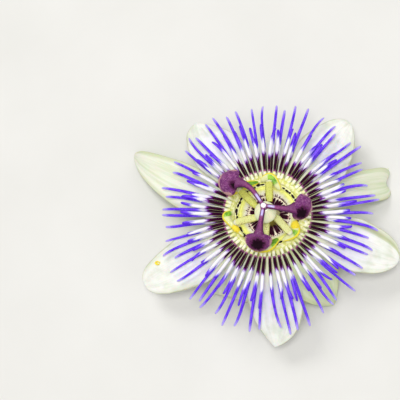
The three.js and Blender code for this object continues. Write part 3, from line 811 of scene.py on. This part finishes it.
def stalk():
    """The stalk's line drops, turns through a quarter circle and lies along the table. Its radius
    shrinks from the swollen top by the smooth step of s / 0.16, and low ribs make it
    1 + 0.035 cos(ribs * angle) times that. The cut end is chamfered."""
    top, lying = CUP_BASE - SEAT_GAP, STALK_RADIUS + 0.15
    drop = top - lying - STALK_BEND_RADIUS
    arc = STALK_BEND_RADIUS * np.pi / 2
    length = drop + arc + STALK_REACH - STALK_BEND_RADIUS
    s = np.linspace(0, 1, 71)
    gone = s * length
    turn = np.clip((gone - drop) / STALK_BEND_RADIUS, 0, np.pi / 2)
    radius = STALK_BEND_RADIUS * (1 - np.cos(turn)) + np.maximum(gone - drop - arc, 0)
    height = top - np.minimum(gone, drop) - STALK_BEND_RADIUS * np.sin(turn)
    centre = polar(radius, STALK_AZIMUTH, height)
    along = polar(np.sin(turn), STALK_AZIMUTH, -np.cos(turn))
    side = polar(0, STALK_AZIMUTH, 0 * s, 1)
    thick = STALK_RADIUS + (STALK_NODE_RADIUS - STALK_RADIUS) * (1 - smooth(s / 0.16))
    cos, sin = turns(6 * STALK_RIBS)
    ribs = np.cos(STALK_RIBS * np.arctan2(sin, cos))
    size = thick[:, None] * (1 + 0.035 * ribs)
    rings = sections(centre, side, np.cross(along, side), size * cos, size * sin)
    end = centre[-1] + (rings[-1] - centre[-1]) * 0.86
    rings = np.concatenate([rings, (end - 0.12 * along[-1])[None]])
    share, cut = np.append(s, 1)[:, None], np.append(0 * s, 1)[:, None]
    return loft(rings[None], top=cos, along=share, cut=cut)


CUP_PROFILE = [
    [0, CUP_BASE], [2.6, CUP_BASE], [8.2, CUP_BASE + 1.1], [10.8, CUP_BASE + 3.3], [11.8, CUP_BASE + 5.6],
    [12, RIM_TOP], [10.2, RIM_TOP], [10.2, LEDGE_HEIGHT], [8, LEDGE_HEIGHT], [7.4, CHAMBER_FLOOR + 1.6],
    [5.2, CHAMBER_FLOOR], [0, CHAMBER_FLOOR],
]

# ---- Blades: petals, sepals and bracts ----


def blade(own, azimuth, rib, half_width, root_share, tip_power, cup, thickness, point=0.5, wave=0.0,
          waves=2.0, corners=0.0, sweep=0.0, skew=0.0, keel=0.0, folds=0.0, frill=0.0, notch=0.0,
          rows=70, columns=44):
    """A leaf-like body along a rib, which is a Bezier curve of radii and heights.

    s is the share of the rib, and t = -cos(turn) goes from edge to edge and back underneath. The
    outline is (rootShare + (1 - rootShare) * smooth(2s)) * (1 - s^tipPower)^point, the half-width is
    halfWidth times it, and across is t times it. A point leaves the rib upwards by
    cup * across^2 * (0.2 + 0.8 s), a wave, low folds and a frill at the edges, forwards by
    corners * across^2 * s^8 less a notch at the tip, sideways by sweep * s^2, and by half the thickness,
    which thins at the edges. The underside also has a keel. The distance along the blade grows by
    skew * across, and no part goes under the table. The mark face is 1 above, -1 below and 0 at the
    edges."""
    s = np.sin(0.5 * np.pi * np.linspace(0, 1, rows + 1))
    turn = np.pi * np.arange(2 * columns) / columns
    t = -np.cos(turn)
    middle, along = bezier(rib, s)
    s, radius, height = s[:, None], middle[:, :1], middle[:, 1:]
    flat, steep = along[:, :1], along[:, 1:]
    outline = (root_share + (1 - root_share) * smooth(2 * s)) * (1 - s ** tip_power) ** point
    width = np.maximum(half_width * outline, 0.12)
    across = t * width / half_width
    frills = frill * np.sin(9 * s + 7 * own) * np.sin(23 * s + own) * smooth(3 * s)
    ripple = wave * np.sin(2 * np.pi * waves * s + 2 * np.sign(t)) * smooth(2 * s)
    lift = cup * across ** 2 * (0.2 + 0.8 * s) + ripple * abs(across) ** 3 + frills * abs(t) ** 6
    lift = lift + folds * np.cos(3.4 * np.pi * t + own) * smooth(2 * s) * (1 - s ** 6)
    reach = corners * across ** 2 * s ** 8 - notch * bump(across, 0.08, 0.4) * s ** 9
    half = thickness / 2 * np.sqrt(1 - 0.97 * abs(t) ** 7) * np.sqrt(1 - 0.9 * s ** 30)
    under = half + keel * bump(t, 0, 0.2) * (1 - 0.6 * s)
    face = np.sign(np.round(np.sin(turn), 9))
    offset = np.where(face < 0, -under, half * face)
    stands = height + flat * lift + steep * reach
    raised = np.maximum(stands, abs(flat) * under + 0.02) + flat * offset
    run = radius - rib[0][0] - steep * (lift + offset) + flat * reach
    sideways = t * width + sweep * s ** 2
    points = polar(rib[0][0] + run * (1 + skew * across), azimuth, raised, sideways)
    return loft(points[None], across=t, along=s[None], face=face, own=own)


PETALS = [
    {"azimuth": 45.7, "reach": 39.8, "tip": 9.6, "half_width": 10.8, "tip_power": 1.8, "corners": -1.7,
     "sweep": 3, "skew": 0.05},
    {"azimuth": -20, "reach": 42.3, "tip": 8.6, "half_width": 8.6, "tip_power": 3.8, "corners": -0.9,
     "sweep": 0.5, "skew": 0.03},
    {"azimuth": -84.1, "reach": 40.3, "tip": 8, "half_width": 8.9, "tip_power": 4.5, "point": 0.95,
     "corners": -4.2, "sweep": -2.8, "skew": 0.16, "cup": 1.2},
    {"azimuth": -149.7, "reach": 44.9, "tip": 8.4, "half_width": 10.3, "tip_power": 1.2, "point": 0.35,
     "corners": -0.6, "sweep": -2.5},
    {"azimuth": 127, "reach": 40.1, "tip": 9.6, "half_width": 8.9, "tip_power": 3.6, "point": 0.82,
     "corners": 3, "sweep": -0.5, "skew": 0.17},
]


def petal(k, reach, tip, cup=1.6, **shape):
    """A blade that rises a little from the cup, arches over and droops to its tip."""
    length = reach - BLADE_ROOT_RADIUS
    rib = [
        [BLADE_ROOT_RADIUS, PETAL_ROOT_HEIGHT],
        [BLADE_ROOT_RADIUS + 0.33 * length, PETAL_ROOT_HEIGHT + 1.1],
        [BLADE_ROOT_RADIUS + 0.7 * length, PETAL_ROOT_HEIGHT - 1.6],
        [reach, tip],
    ]
    return blade(
        own=float(k + 1), rib=rib, root_share=0.52, cup=cup, wave=0.3, waves=1.5 + 0.3 * scatter(k, 1),
        thickness=0.7, folds=0.13, frill=0.12, **shape
    )


SEPALS = [
    {"azimuth": 18.5, "bend": [[24, 13.4], [33, 8], [39.8, 0.1]], "half_width": 5.3, "tip_power": 13,
     "corners": 4, "skew": 0.06, "notch": 1.8, "horn": [36.6, 16]},
    {"azimuth": -52.5, "bend": [[20, 13.4], [28, 8], [32.7, 0.1]], "half_width": 9.6, "tip_power": 2.9,
     "point": 0.95, "corners": -6, "sweep": -0.5, "skew": -0.08},
    {"azimuth": -119, "bend": [[22, 13.4], [35, 5], [21, 0.35]], "half_width": 7.2, "tip_power": 6,
     "skew": -0.13},
    {"azimuth": 161, "bend": [[26.5, 13.4], [41, 10.5], [51.4, 0.1]], "half_width": 8.6, "tip_power": 1.6,
     "corners": 2, "sweep": -7.5, "skew": -0.07},
    {"azimuth": 91, "bend": [[21, 13.4], [34, 5.5], [20, 0.35]], "half_width": 6.6, "tip_power": 6},
]


def sepal(k, bend, horn=None, **shape):
    """A keeled blade that arches down to the table. Where a horn is given, a small one stands out from
    the blade's point that is nearest to that place. Its half-width is 0.95 - 0.8 s^1.5 and its
    half-height is 0.5 - 0.38 s^2."""
    rib = [[BLADE_ROOT_RADIUS, SEPAL_ROOT_HEIGHT], *bend]
    body = blade(
        own=float(k + 1), rib=rib, root_share=0.74, cup=0.7, wave=0.25,
        waves=1.3 + 0.3 * scatter(k, 2), thickness=0.9, keel=0.6, folds=0.08, frill=0.2, **shape
    )
    if horn is None:
        return body
    nearest = np.linalg.norm(body.points[:, :2] - horn, axis=1).argmin()
    x, y, height = body.points[nearest]
    start = np.array([x, y, max(height, HORN_MIN_HEIGHT)])
    outwards = unit(start * [1, 1, 0])
    line = [start - 2.4 * outwards - [0, 0.9, 0], start, start + 0.9 * outwards + [0, 1.1, 0.3]]

    def size(s):
        return 0.95 - 0.8 * s ** 1.5, 0.5 - 0.38 * s ** 2

    return together([body, rod(line, steps=14, corners=12, size=size, across=0.75, face=0.12, own=9)])


def bract(k, azimuth):
    """A broad leafy blade that arches up and over from the stalk, under the cup."""
    return blade(
        own=float(k + 1), azimuth=azimuth,
        rib=[[STALK_NODE_RADIUS + SEAT_GAP, 5.4], [7, 5.7], [13, 8.4], [19.5, 5.6]],
        half_width=6.2, root_share=0.35, tip_power=2.4, cup=0.5, thickness=0.7, folds=0.1, frill=0.3,
        rows=50, columns=32,
    )


# ---- Corona ----


def corona_height(radius):
    """Height of the outer row's middle line: it lifts off the rim by 0.6, rises by 0.9 as a smooth step,
    and droops by 3.2 times the square of (radius - 20) / 18."""
    droop = 3.2 * (np.maximum(radius - 20, 0) / 18) ** 2
    return RIM_HEIGHT + 0.6 + 0.9 * smooth((radius - 12) / 8) - droop


def corona_reach(azimuth):
    """Radius of the tips: 33.6, and 2.9 more towards +Y and -Y by the sine squared."""
    return 33.6 + 2.9 * np.sin(np.radians(azimuth)) ** 2


def spaced(count, share, salt):
    """Evenly spaced azimuths for a count of rods, each off its place by up to a share of the spacing."""
    k = np.arange(count)
    return 360 * (k + share * scatter(k, salt)) / count


def upright(azimuth, radius):
    """Unit vectors across the radius and straight up, for rods at those azimuths."""
    return polar(0, azimuth + 0 * radius, 0, 1), polar(0, 0, 1 + 0 * radius)


def filaments(k, azimuth, foot, tip, lift, sway, upper):
    """Rods that follow the corona's height and bend sideways by sway times the share squared, with a
    slow waver, 0.22 sin(5 share), and a small hook at the end, 3 share^9. The half-thickness has a bead
    at the foot, a neck and a broad middle, and tapers to a rounded tip. upper is 1 for the upper row."""
    share = np.array([
        -0.034, -0.02, 0, 0.02, 0.045, 0.075, 0.12, 0.2, 0.32, 0.45, 0.58, 0.7, 0.82, 0.92, 0.98, 1.0
    ])
    radius = foot + share * (tip - foot)[:, None]
    part = np.maximum(share, 0)
    waver = 0.22 * np.sin(5 * part + 3 * scatter(k, 21)[:, None]) * part
    hook = 0.7 * np.maximum(abs(scatter(k, 29)) - 0.5, 0)[:, None] * np.sign(scatter(k, 30))[:, None]
    height = corona_height(radius) + lift[:, None] * part + UPPER_ROW_LIFT * upper
    height = height + 0.2 * np.sin(6 * part + 3 * scatter(k, 22)[:, None]) * part
    azimuth = azimuth[:, None]
    centres = polar(radius, azimuth, height, sway[:, None] * part ** 2 + waver + 3 * hook * part ** 9)
    half = 0.54 - 0.1 * smooth((radius - 20) / 13) + 0.03 * bump(radius, foot + 0.15, 0.9)
    half = half - 0.13 * bump(radius, foot + 1.7, 0.7) - 0.05 * part ** 6
    half = half * np.sqrt(1 - 0.85 * part ** 60) * (1 + 0.1 * scatter(k, 23)[:, None])
    own, other = scatter(k, 24)[:, None], scatter(k, 25)[:, None]
    return tubes(
        centres, *upright(azimuth, radius), half, 0.9 * half, corners=8,
        share=share, own=own, other=other, upper=upper
    )


CORONA_ROWS = {
    "corona_outer": {
        "upper": 0, "first": 0, "salt": 3, "foot": 12.3, "reach": 1, "lift": -0.3, "sway": 1.3,
        "profile": [[10.9, RIM_TOP + SEAT_GAP], [13, RIM_TOP + SEAT_GAP], [12.8, 15.7], [10.9, 15.9]],
        "steps": 2, "flute": 0.05,
    },
    "corona_second": {
        "upper": 1, "first": 100, "salt": 7, "foot": 12.2, "reach": 0.78, "lift": 0.3, "sway": 1.1,
        "profile": [[10.3, 16.35], [12.8, 16.55], [12.6, 17.2], [11.4, 17.4], [10.3, 17.2]],
        "steps": 3, "flute": 0.06,
    },
}


def corona_row(upper, first, salt, foot, reach, lift, sway, profile, steps, flute):
    """A row of filaments with the ring that they grow from. They stand evenly but for a scatter of 0.15
    of a step, and reach out to that share of the corona's reach, with a scatter of 1.8 mm. The first
    number and the salt keep the two rows' scatters apart."""
    k = np.arange(FILAMENTS)
    azimuth = spaced(FILAMENTS, 0.15, salt)
    tip = reach * corona_reach(azimuth) + 1.8 * scatter(k, salt + 1)
    lift, sway = lift + 0.3 * scatter(k, salt + 2), sway * scatter(k, salt + 3)
    rods = filaments(k + first, azimuth, foot, tip, lift, sway, upper)
    return together([rods, turned_ring(profile, FILAMENTS, steps, flute=flute)])


THREAD_RING_PROFILE = [
    [9.3, 13.7], [9.95, 13.7], [10.28, 16.2], [10.25, 16.95], [9.65, 16.7], [9.1, 16.55], [9.1, 15.7]
]


def inner_corona():
    """Upright threads in a ring, each with a thick head that is wider round the ring than across it.
    The widths of the heads vary from a dot to a dash."""
    k = np.arange(THREADS)
    azimuth = spaced(THREADS, 0.3, 11)[:, None]
    s = np.array([0, 0.3, 0.55, 0.75, 0.9, 1.0])
    height = 16.1 + s * (0.85 + 0.15 * scatter(k, 12))[:, None]
    centres = polar(9.66 + 0.25 * scatter(k, 31)[:, None] * s, azimuth, height, 0.1 * s)
    swelling = np.array([0.25, 0.25, 0.36, 0.42, 0.38, 0.2])
    wide = swelling * (1.6 + 0.8 * scatter(k, 26))[:, None]
    thick = swelling * (1 + 0.25 * scatter(k, 32))[:, None]
    sides, outs = polar(0, azimuth + 0 * s, 0, 1), polar(1, azimuth + 0 * s, 0)
    heads = tubes(centres, outs, sides, thick, wide, corners=8, head=1)
    return together([heads, turned_ring(THREAD_RING_PROFILE, THREADS, steps=3, flute=0.05)])


# ---- Operculum and its fringe ----

OPERCULUM_PLEATS = 48
OPERCULUM_PROFILE = [
    [8.1, 13.7], [9.05, 13.7], [9.05, 15.8], [8.95, 16.45], [8.2, 16.4], [7.2, 15.2], [6.5, 14.3],
    [6.5, 13.5], [7.3, 14.3], [7.9, 15], [8.2, 14.8],
]
WEB_PROFILE = [
    [5.8, 12.5], [6.8, 12.5], [6.8, 13.2], [5.9, 13.1], [4.8, 13.5], [3.9, 13.9], [3.8, 13.75], [4.7, 13.3]
]


def fringe():
    """Flat lashes on a ring, each a rod from the ring inwards and up, thickest at a third of its way,
    and a thin pale web under them."""
    k = np.arange(LASHES)
    azimuth = spaced(LASHES, 0.3, 13)[:, None]
    s = np.linspace(0, 1, 9)
    radius = 6.4 - (3 - 0.3 * scatter(k, 14)[:, None]) * s
    height = 12.95 + 1.55 * s + 0.25 * np.sin(np.pi * s)
    centres = polar(radius, azimuth, height, 0.3 * scatter(k, 15)[:, None] * s ** 2)
    wide = (0.25 + 0.19 * smooth(3 * s) - 0.17 * s) * np.sqrt(1 - 0.9 * s ** 6)
    wide = wide * (1 + 0.2 * scatter(k, 27))[:, None]
    own = scatter(k, 28)[:, None]
    lashes = tubes(centres, *upright(azimuth, radius), wide, 0.6 * wide, corners=8, own=own)
    web = turned_ring(WEB_PROFILE, LASHES, steps=4, depth=0.05)
    web.marks["web"] = np.ones(len(web.points))
    return together([lashes, web])


# ---- Column, stamens and anthers ----

COLUMN_BASE = CHAMBER_FLOOR + SEAT_GAP
COLUMN_PROFILE = [
    [0, COLUMN_BASE], [3, COLUMN_BASE], [2.6, 10.6], [2.2, 14], [2, 19], [2.35, 22],
    [2.2, COLUMN_TOP - 0.1], [1.4, COLUMN_TOP], [0, COLUMN_TOP],
]

STAMENS = [
    {"root": 66, "tip": [0.9, 9.8], "elbow": [1.2, 11], "ends": [[-1.9, 10.3], [4.1, 7.2]],
     "green": [0.3, 0.88, -0.25], "line": 1},
    {"root": 158, "tip": [-8.6, 7.2], "elbow": [-8.6, 8.1], "ends": [[-11.9, 5.6], [-2.7, 9.8]],
     "green": [0.42, 1.1, 0], "line": 0},
    {"root": 224, "tip": [-10, -3.5], "elbow": [-12.5, -1.5], "ends": [[-10.6, 0.5], [-7.3, -7.2]],
     "girth": [0.9, 0.65], "green": [0.02, 0.5, 0.1], "line": -1, "pale": 0.6},
    {"root": 274, "tip": [-0.4, -10.4], "elbow": [0.2, -11], "ends": [[-4.4, -11.4], [3.5, -8.2]],
     "green": [0.62, 1.1, 0.1], "line": -1, "pale": 0.7},
    {"root": -32, "tip": [7.7, -7.3], "elbow": [8.8, -6.2], "ends": [[8, -1.9], [4.8, -8.7]],
     "green": [0.4, 0.7, 0], "line": 1, "pale": 0.8},
]


def stamen(root, tip, pale=0, **_):
    """A strap along a Bezier curve from the column's top out and down. Its half-width widens from 0.85
    to 1.2 and ends at 0.95, and its end is blunt."""
    start = polar(STAMEN_ROOT_RADIUS, root, STAMEN_ROOT_HEIGHT)
    end = np.array([*tip, STAMEN_TIP_HEIGHT])
    crest = np.append((0.55 * start + 0.45 * end)[:2], STAMEN_ROOT_HEIGHT + 0.5)

    def size(s):
        blunt = np.sqrt(1 - 0.75 * s ** 24)
        return (0.85 + 0.35 * smooth(4 * s) - 0.25 * smooth(5 * s - 4)) * blunt, 0.45 * blunt

    return rod([start, crest, end], steps=34, corners=20, size=size, pale=pale)


def anther_curve(elbow, ends, **_):
    """Control points of a Bezier curve whose two inner ones fall together, so that halfway it passes
    the elbow: (elbow - (first + last) / 8) / 0.75."""
    first, last = [np.array([*end, ANTHER_HEIGHT - ANTHER_DROOP]) for end in ends]
    inner = (np.array([*elbow, ANTHER_HEIGHT]) - (first + last) / 8) / 0.75
    return [first, inner, inner, last]


def anther(green, line, girth=(1, 1), **values):
    """A bent bean: half-size 0.12 + 1.15 taper girth across and 0.1 + 0.62 taper in height, where taper
    is sin(pi s)^0.4, with a thin lip that runs along both sides. The mark green is 1 on the part between
    two shares of the length, the mark side is counted from a middle, and the mark edge runs up to 1
    where a yellow line lies: on the side of that sign, or on both."""
    s = 0.5 - 0.5 * np.cos(np.pi * np.linspace(0, 1, 41))
    centres, along = bezier(anther_curve(**values), s)
    side, up = level_frame(along)
    taper = np.maximum(np.sin(np.pi * s), 0) ** 0.4
    share = girth[0] + (girth[1] - girth[0]) * smooth(2 * s - 0.5)
    cos, sin = turns(28)
    lip = 0.2 * bump(abs(cos), 1, 0.08) * taper[:, None]
    wide = (0.12 + 1.15 * share * taper)[:, None] * cos + lip * np.sign(cos)
    high = (0.1 + 0.62 * taper)[:, None] * sin
    rings = sections(centres, side, up, wide, high)
    start, stop, middle = green
    here = smooth((s - start) / 0.08) * smooth((stop - s) / 0.08)
    edge = cos * line if line else abs(cos)
    return loft(rings[None], top=sin, side=cos - middle, along=s[:, None], green=here[:, None], edge=edge)


def grains(centre, axes, count, size, seed):
    """Small twenty-faced grains all over an oval body: each sits where a random direction meets the
    oval, centre + direction times axes."""
    golden = (1 + np.sqrt(5)) / 2
    ball = np.array([
        [-1, golden, 0], [1, golden, 0], [-1, -golden, 0], [1, -golden, 0], [0, -1, golden], [0, 1, golden],
        [0, -1, -golden], [0, 1, -golden], [golden, 0, -1], [golden, 0, 1], [-golden, 0, -1],
        [-golden, 0, 1],
    ]) / np.hypot(1, golden)
    sides = np.array([
        [0, 11, 5], [0, 5, 1], [0, 1, 7], [0, 7, 10], [0, 10, 11], [1, 5, 9], [5, 11, 4], [11, 10, 2],
        [10, 7, 6], [7, 1, 8], [3, 9, 4], [3, 4, 2], [3, 2, 6], [3, 6, 8], [3, 8, 9], [4, 9, 5],
        [2, 4, 11], [6, 2, 10], [8, 6, 7], [9, 8, 1],
    ])
    dice = np.random.default_rng(seed)
    directions = unit(dice.normal(size=(count, 3)))
    spots = centre + (directions * dice.uniform(0.82, 1.05, (count, 1))) @ np.asarray(axes)
    sizes = size * dice.uniform(0.75, 1.25, (count, 1, 1))
    points = (spots[:, None] + sizes * ball).reshape(-1, 3)
    faces = (sides + 12 * np.arange(count)[:, None, None]).reshape(-1, 3).tolist()
    return Shape(points, faces)


def pollen_on(stamen_values, s, length, width, height, seed):
    """A heap of pollen on an anther at share s: an oval core along the anther, and grains all over. The
    core is the sphere (-cos(turn), sin(turn) cos(angle), sin(turn) sin(angle)) times 0.9 of the axes."""
    centre, along = bezier(anther_curve(**stamen_values), [s])
    side, up = level_frame(along)
    axes = np.concatenate([along * length, side * width, up * height])
    centre = centre[0] + up[0] * 0.35
    turn = np.linspace(0.12, np.pi - 0.12, 12)[:, None]
    cos, sin = turns(20)
    x, y, z = np.broadcast_arrays(-np.cos(turn), np.sin(turn) * cos, np.sin(turn) * sin)
    core = loft((centre + 0.9 * np.stack([x, y, z], -1) @ axes)[None])
    return together([core, grains(centre, axes, count=260, size=0.11, seed=seed)])


def fallen_pollen(shape, x, y, length, width, seed):
    """A few grains that lie on the highest point of a shape near x and y."""
    near = shape.points[np.hypot(shape.points[:, 0] - x, shape.points[:, 1] - y) < 1]
    centre = np.array([x, y, near[:, 2].max() + 0.05])
    return grains(centre, np.diag([length, width, 0.2]), count=70, size=0.15, seed=seed)


# ---- Ovary, styles and stigmas ----


def ovary():
    """An egg: radius 3.4 sin(angle) and height 2.45 cos(angle), with six shallow furrows, where the
    radius loses 0.02 cos(3 azimuth)^2 of itself. It is bowed to one side by the bow times
    sin(angle)^2."""
    angle = np.linspace(0.04, np.pi - 0.04, 40)[:, None]
    azimuth = np.linspace(0, 360, 72, endpoint=False)
    furrow = 1 - 0.02 * np.cos(3 * np.radians(azimuth - 60)) ** 2
    height = COLUMN_TOP + SEAT_GAP + OVARY_HEIGHT / 2 * (1 - np.cos(angle))
    straight = polar(OVARY_RADIUS * np.sin(angle) * furrow, azimuth, height)
    bow = np.sin(angle)[..., None] ** 2 * np.array([*OVARY_BOW, 0])
    return loft((straight + bow)[None], turn=turn_of(straight))


def nub():
    """The knob in which the styles meet: a small dome on a short neck, turned from its profile."""
    profile = [[0, 27.9], [1.3, 27.9], [1.15, 28.7], [1.1, 29.5], [0.95, 29.95], [0.6, 30.2], [0, 30.3]]
    return turned(rounded(profile), segments=40, pleats=len(STYLES), depth=0.06)


STYLES = [
    {"leaves": 123, "end": [-7.4, 8], "stigma": [-10.9, 8.6], "heading": 168, "longer": 0.38, "rim": 1.5,
     "hollow": [-2, 1.1, 0.9], "hollow_size": [1.3, 1.4]},
    {"leaves": -8, "end": [7.9, -0.6], "stigma": [11.6, 0.1], "heading": -18,
     "hollow": [0.2, -1.9, 1.1], "hollow_size": [2.1, 2]},
    {"leaves": -99, "end": [-1.6, -7.2], "stigma": [-2.1, -10.5], "heading": -96,
     "hollow": [0.5, 0, 1.1], "hollow_size": [2.2, 2.4]},
]


def style(leaves, end, stigma, **_):
    """A rod that arches from the knob to the stigma and widens to it: radius 0.68 + 0.24 s + 0.5 s^4,
    and a broad, flat flare, 1.1 s^8, where it enters the stigma."""
    root = polar(1.15, leaves, STYLE_ROOT_HEIGHT)
    last = np.array([*end, STYLE_END_HEIGHT])
    onward = unit(np.array([*stigma, STIGMA_HEIGHT]) - last)
    reach = np.linalg.norm(last - root)
    controls = [
        polar(0.5, leaves, STYLE_ROOT_HEIGHT), root + polar(0.45 * reach, leaves, 0.5),
        last - 0.3 * reach * onward, last + 1.8 * onward,
    ]

    def size(s):
        half = (0.68 + 0.24 * s + 0.5 * s ** 4) * np.sqrt(1 - 0.8 * s ** 40)
        return half + 1.1 * s ** 8, half * (1 - 0.4 * s ** 10)

    return rod(controls, steps=56, corners=20, size=size)


def stigma_head(heading, stigma, hollow, hollow_size, longer=0, rim=1, **_):
    """A bean, long across the style: rings at y = -4.2 cos(turn) with half-sizes 2.9 and 1.9 times
    sin(turn), and its outer side swells out by longer. Both lobes bend back by 0.04 y^2 and down by
    0.05 y^2, a bell-shaped hollow sinks into the top, and low lumps stand on it. The mark rim is
    strongest along the outer side and the lobes' ends."""
    half_length, half_width, half_height = STIGMA_HALF_SIZE
    outwards = unit(polar(1, heading, -0.45))
    side = polar(0, heading, 0, 1)
    up = np.cross(outwards, side)
    turn = np.pi * (0.03 + 0.94 * np.linspace(0, 1, 45))[:, None]
    cos, sin = turns(40)
    x = half_length * np.sin(turn) * cos
    y = -half_width * np.cos(turn) + 0 * sin
    z = half_height * np.sin(turn) * sin
    at_x, at_y, depth = hollow
    dip = bump(x, at_x, hollow_size[0]) * bump(y, at_y, hollow_size[1]) * (z > 0)
    edge = smooth((x / half_length - 0.35) / 0.55) * bump(z / half_height, 0.3, 0.6)
    edge = edge + smooth((abs(y) / half_width - 0.6) / 0.4) * bump(z / half_height, 0.2, 0.6) * (x > -1)
    lumps = 0.1 * np.sin(2.3 * y + 1.4 * x) * np.sin(1.9 * x - 0.7 * y)
    local_x = x + longer * np.maximum(x, 0) - 0.04 * y * y
    local_z = z - 0.05 * y * y - 1.1 * depth * dip + lumps
    middle = np.array([*stigma, STIGMA_HEIGHT])
    points = middle + local_x[..., None] * outwards + y[..., None] * side + local_z[..., None] * up
    return loft(points[None], hollow=(depth * dip)[None], rim=np.clip(rim * edge, 0, 1.3)[None])


# ---- Assembly ----

PAINTS = {
    "petal": petal_paint(), "sepal": sepal_paint(), "leaf": leaf_paint(), "stalk": stalk_paint(),
    "cup": cup_paint(), "filament": filament_paint(), "thread": thread_paint(), "lash": lash_paint(),
    "membrane": membrane_paint(), "column": column_paint(), "stamen": stamen_paint(),
    "anther": anther_paint(), "pollen": pollen_paint(), "ovary": ovary_paint(), "style": style_paint(),
    "stigma": stigma_paint(), "nub": nub_paint(),
}

dress("peduncle", stalk(), PAINTS["stalk"])
for k, azimuth in enumerate([110, 245, 350]):
    dress(f"bract_{k + 1}", bract(k, azimuth), PAINTS["leaf"])
cup = turned(rounded(CUP_PROFILE, 3), segments=120, pleats=10, depth=0.006)
dress("hypanthium", cup, PAINTS["cup"])
for k, values in enumerate(SEPALS):
    dress(f"sepal_{k + 1}", sepal(k, **values), PAINTS["sepal"])
for k, values in enumerate(PETALS):
    dress(f"petal_{k + 1}", petal(k, **values), PAINTS["petal"])
for name, values in CORONA_ROWS.items():
    dress(name, corona_row(**values), PAINTS["filament"])
dress("corona_inner", inner_corona(), PAINTS["thread"])
membrane = turned_ring(OPERCULUM_PROFILE, OPERCULUM_PLEATS, steps=5, depth=0.05)
dress("operculum", membrane, PAINTS["membrane"])
dress("operculum_fringe", fringe(), PAINTS["lash"])
column = turned(rounded(COLUMN_PROFILE, 3), segments=60, pleats=len(STAMENS), depth=0.03)
dress("androgynophore", column, PAINTS["column"])
for k, values in enumerate(STAMENS):
    dress(f"stamen_{k + 1}", stamen(**values), PAINTS["stamen"])
    dress(f"anther_{k + 1}", anther(**values), PAINTS["anther"])
for k, s, length, width, height in [(2, 0.86, 1.5, 0.95, 0.6), (4, 0.22, 1.5, 1.35, 0.8)]:
    heap = pollen_on(STAMENS[k], s, length, width, height, k)
    add_piece(f"pollen_{k + 1}", heap, PAINTS["pollen"])
speck = fallen_pollen(petal(3, **PETALS[3]), x=-35.5, y=-14, length=0.85, width=0.6, seed=7)
add_piece("pollen_on_petal_4", speck, PAINTS["pollen"])
dress("ovary", ovary(), PAINTS["ovary"])
add_piece("style_nub", nub(), PAINTS["nub"])
for k, values in enumerate(STYLES):
    dress(f"style_{k + 1}", style(**values), PAINTS["style"])
    dress(f"stigma_{k + 1}", stigma_head(**values), PAINTS["stigma"])

# ---- Table and light ----

TABLE_HALF = 2.5  # metres

floor_mesh = bpy.data.meshes.new("table")
square = TABLE_HALF * np.array([[-1, -1, 0], [1, -1, 0], [1, 1, 0], [-1, 1, 0]])
floor_mesh.from_pydata(square.tolist(), [], [(0, 1, 2, 3)])
floor_mesh.materials.append(floor_paint().material)
table = bpy.data.objects.new("table", floor_mesh)
bpy.context.scene.collection.objects.link(table)


def softbox(name, place, size, power):
    """A square area light that faces the flower, with its place and size in metres."""
    data = bpy.data.lights.new(name, "AREA")
    data.size = size
    data.energy = power
    light = bpy.data.objects.new(name, data)
    bpy.context.scene.collection.objects.link(light)
    light.location = place
    light.rotation_mode = "QUATERNION"
    light.rotation_quaternion = (focus - Vector(place)).to_track_quat("-Z", "Y")


softbox("key_light", (-0.35, 0.45, 0.75), size=0.35, power=2.6)
softbox("fill_light", (0.6, -0.35, 0.55), size=0.6, power=0.8)
softbox("top_light", (0.05, -0.1, 0.95), size=0.3, power=4.8)

world = bpy.data.worlds.new("studio")
world.use_nodes = True
world.node_tree.nodes["Background"].inputs["Color"].default_value = (1.0, 0.99, 0.97, 1.0)
world.node_tree.nodes["Background"].inputs["Strength"].default_value = 0.36
bpy.context.scene.world = world
bpy.context.scene.view_settings.view_transform = "Standard"
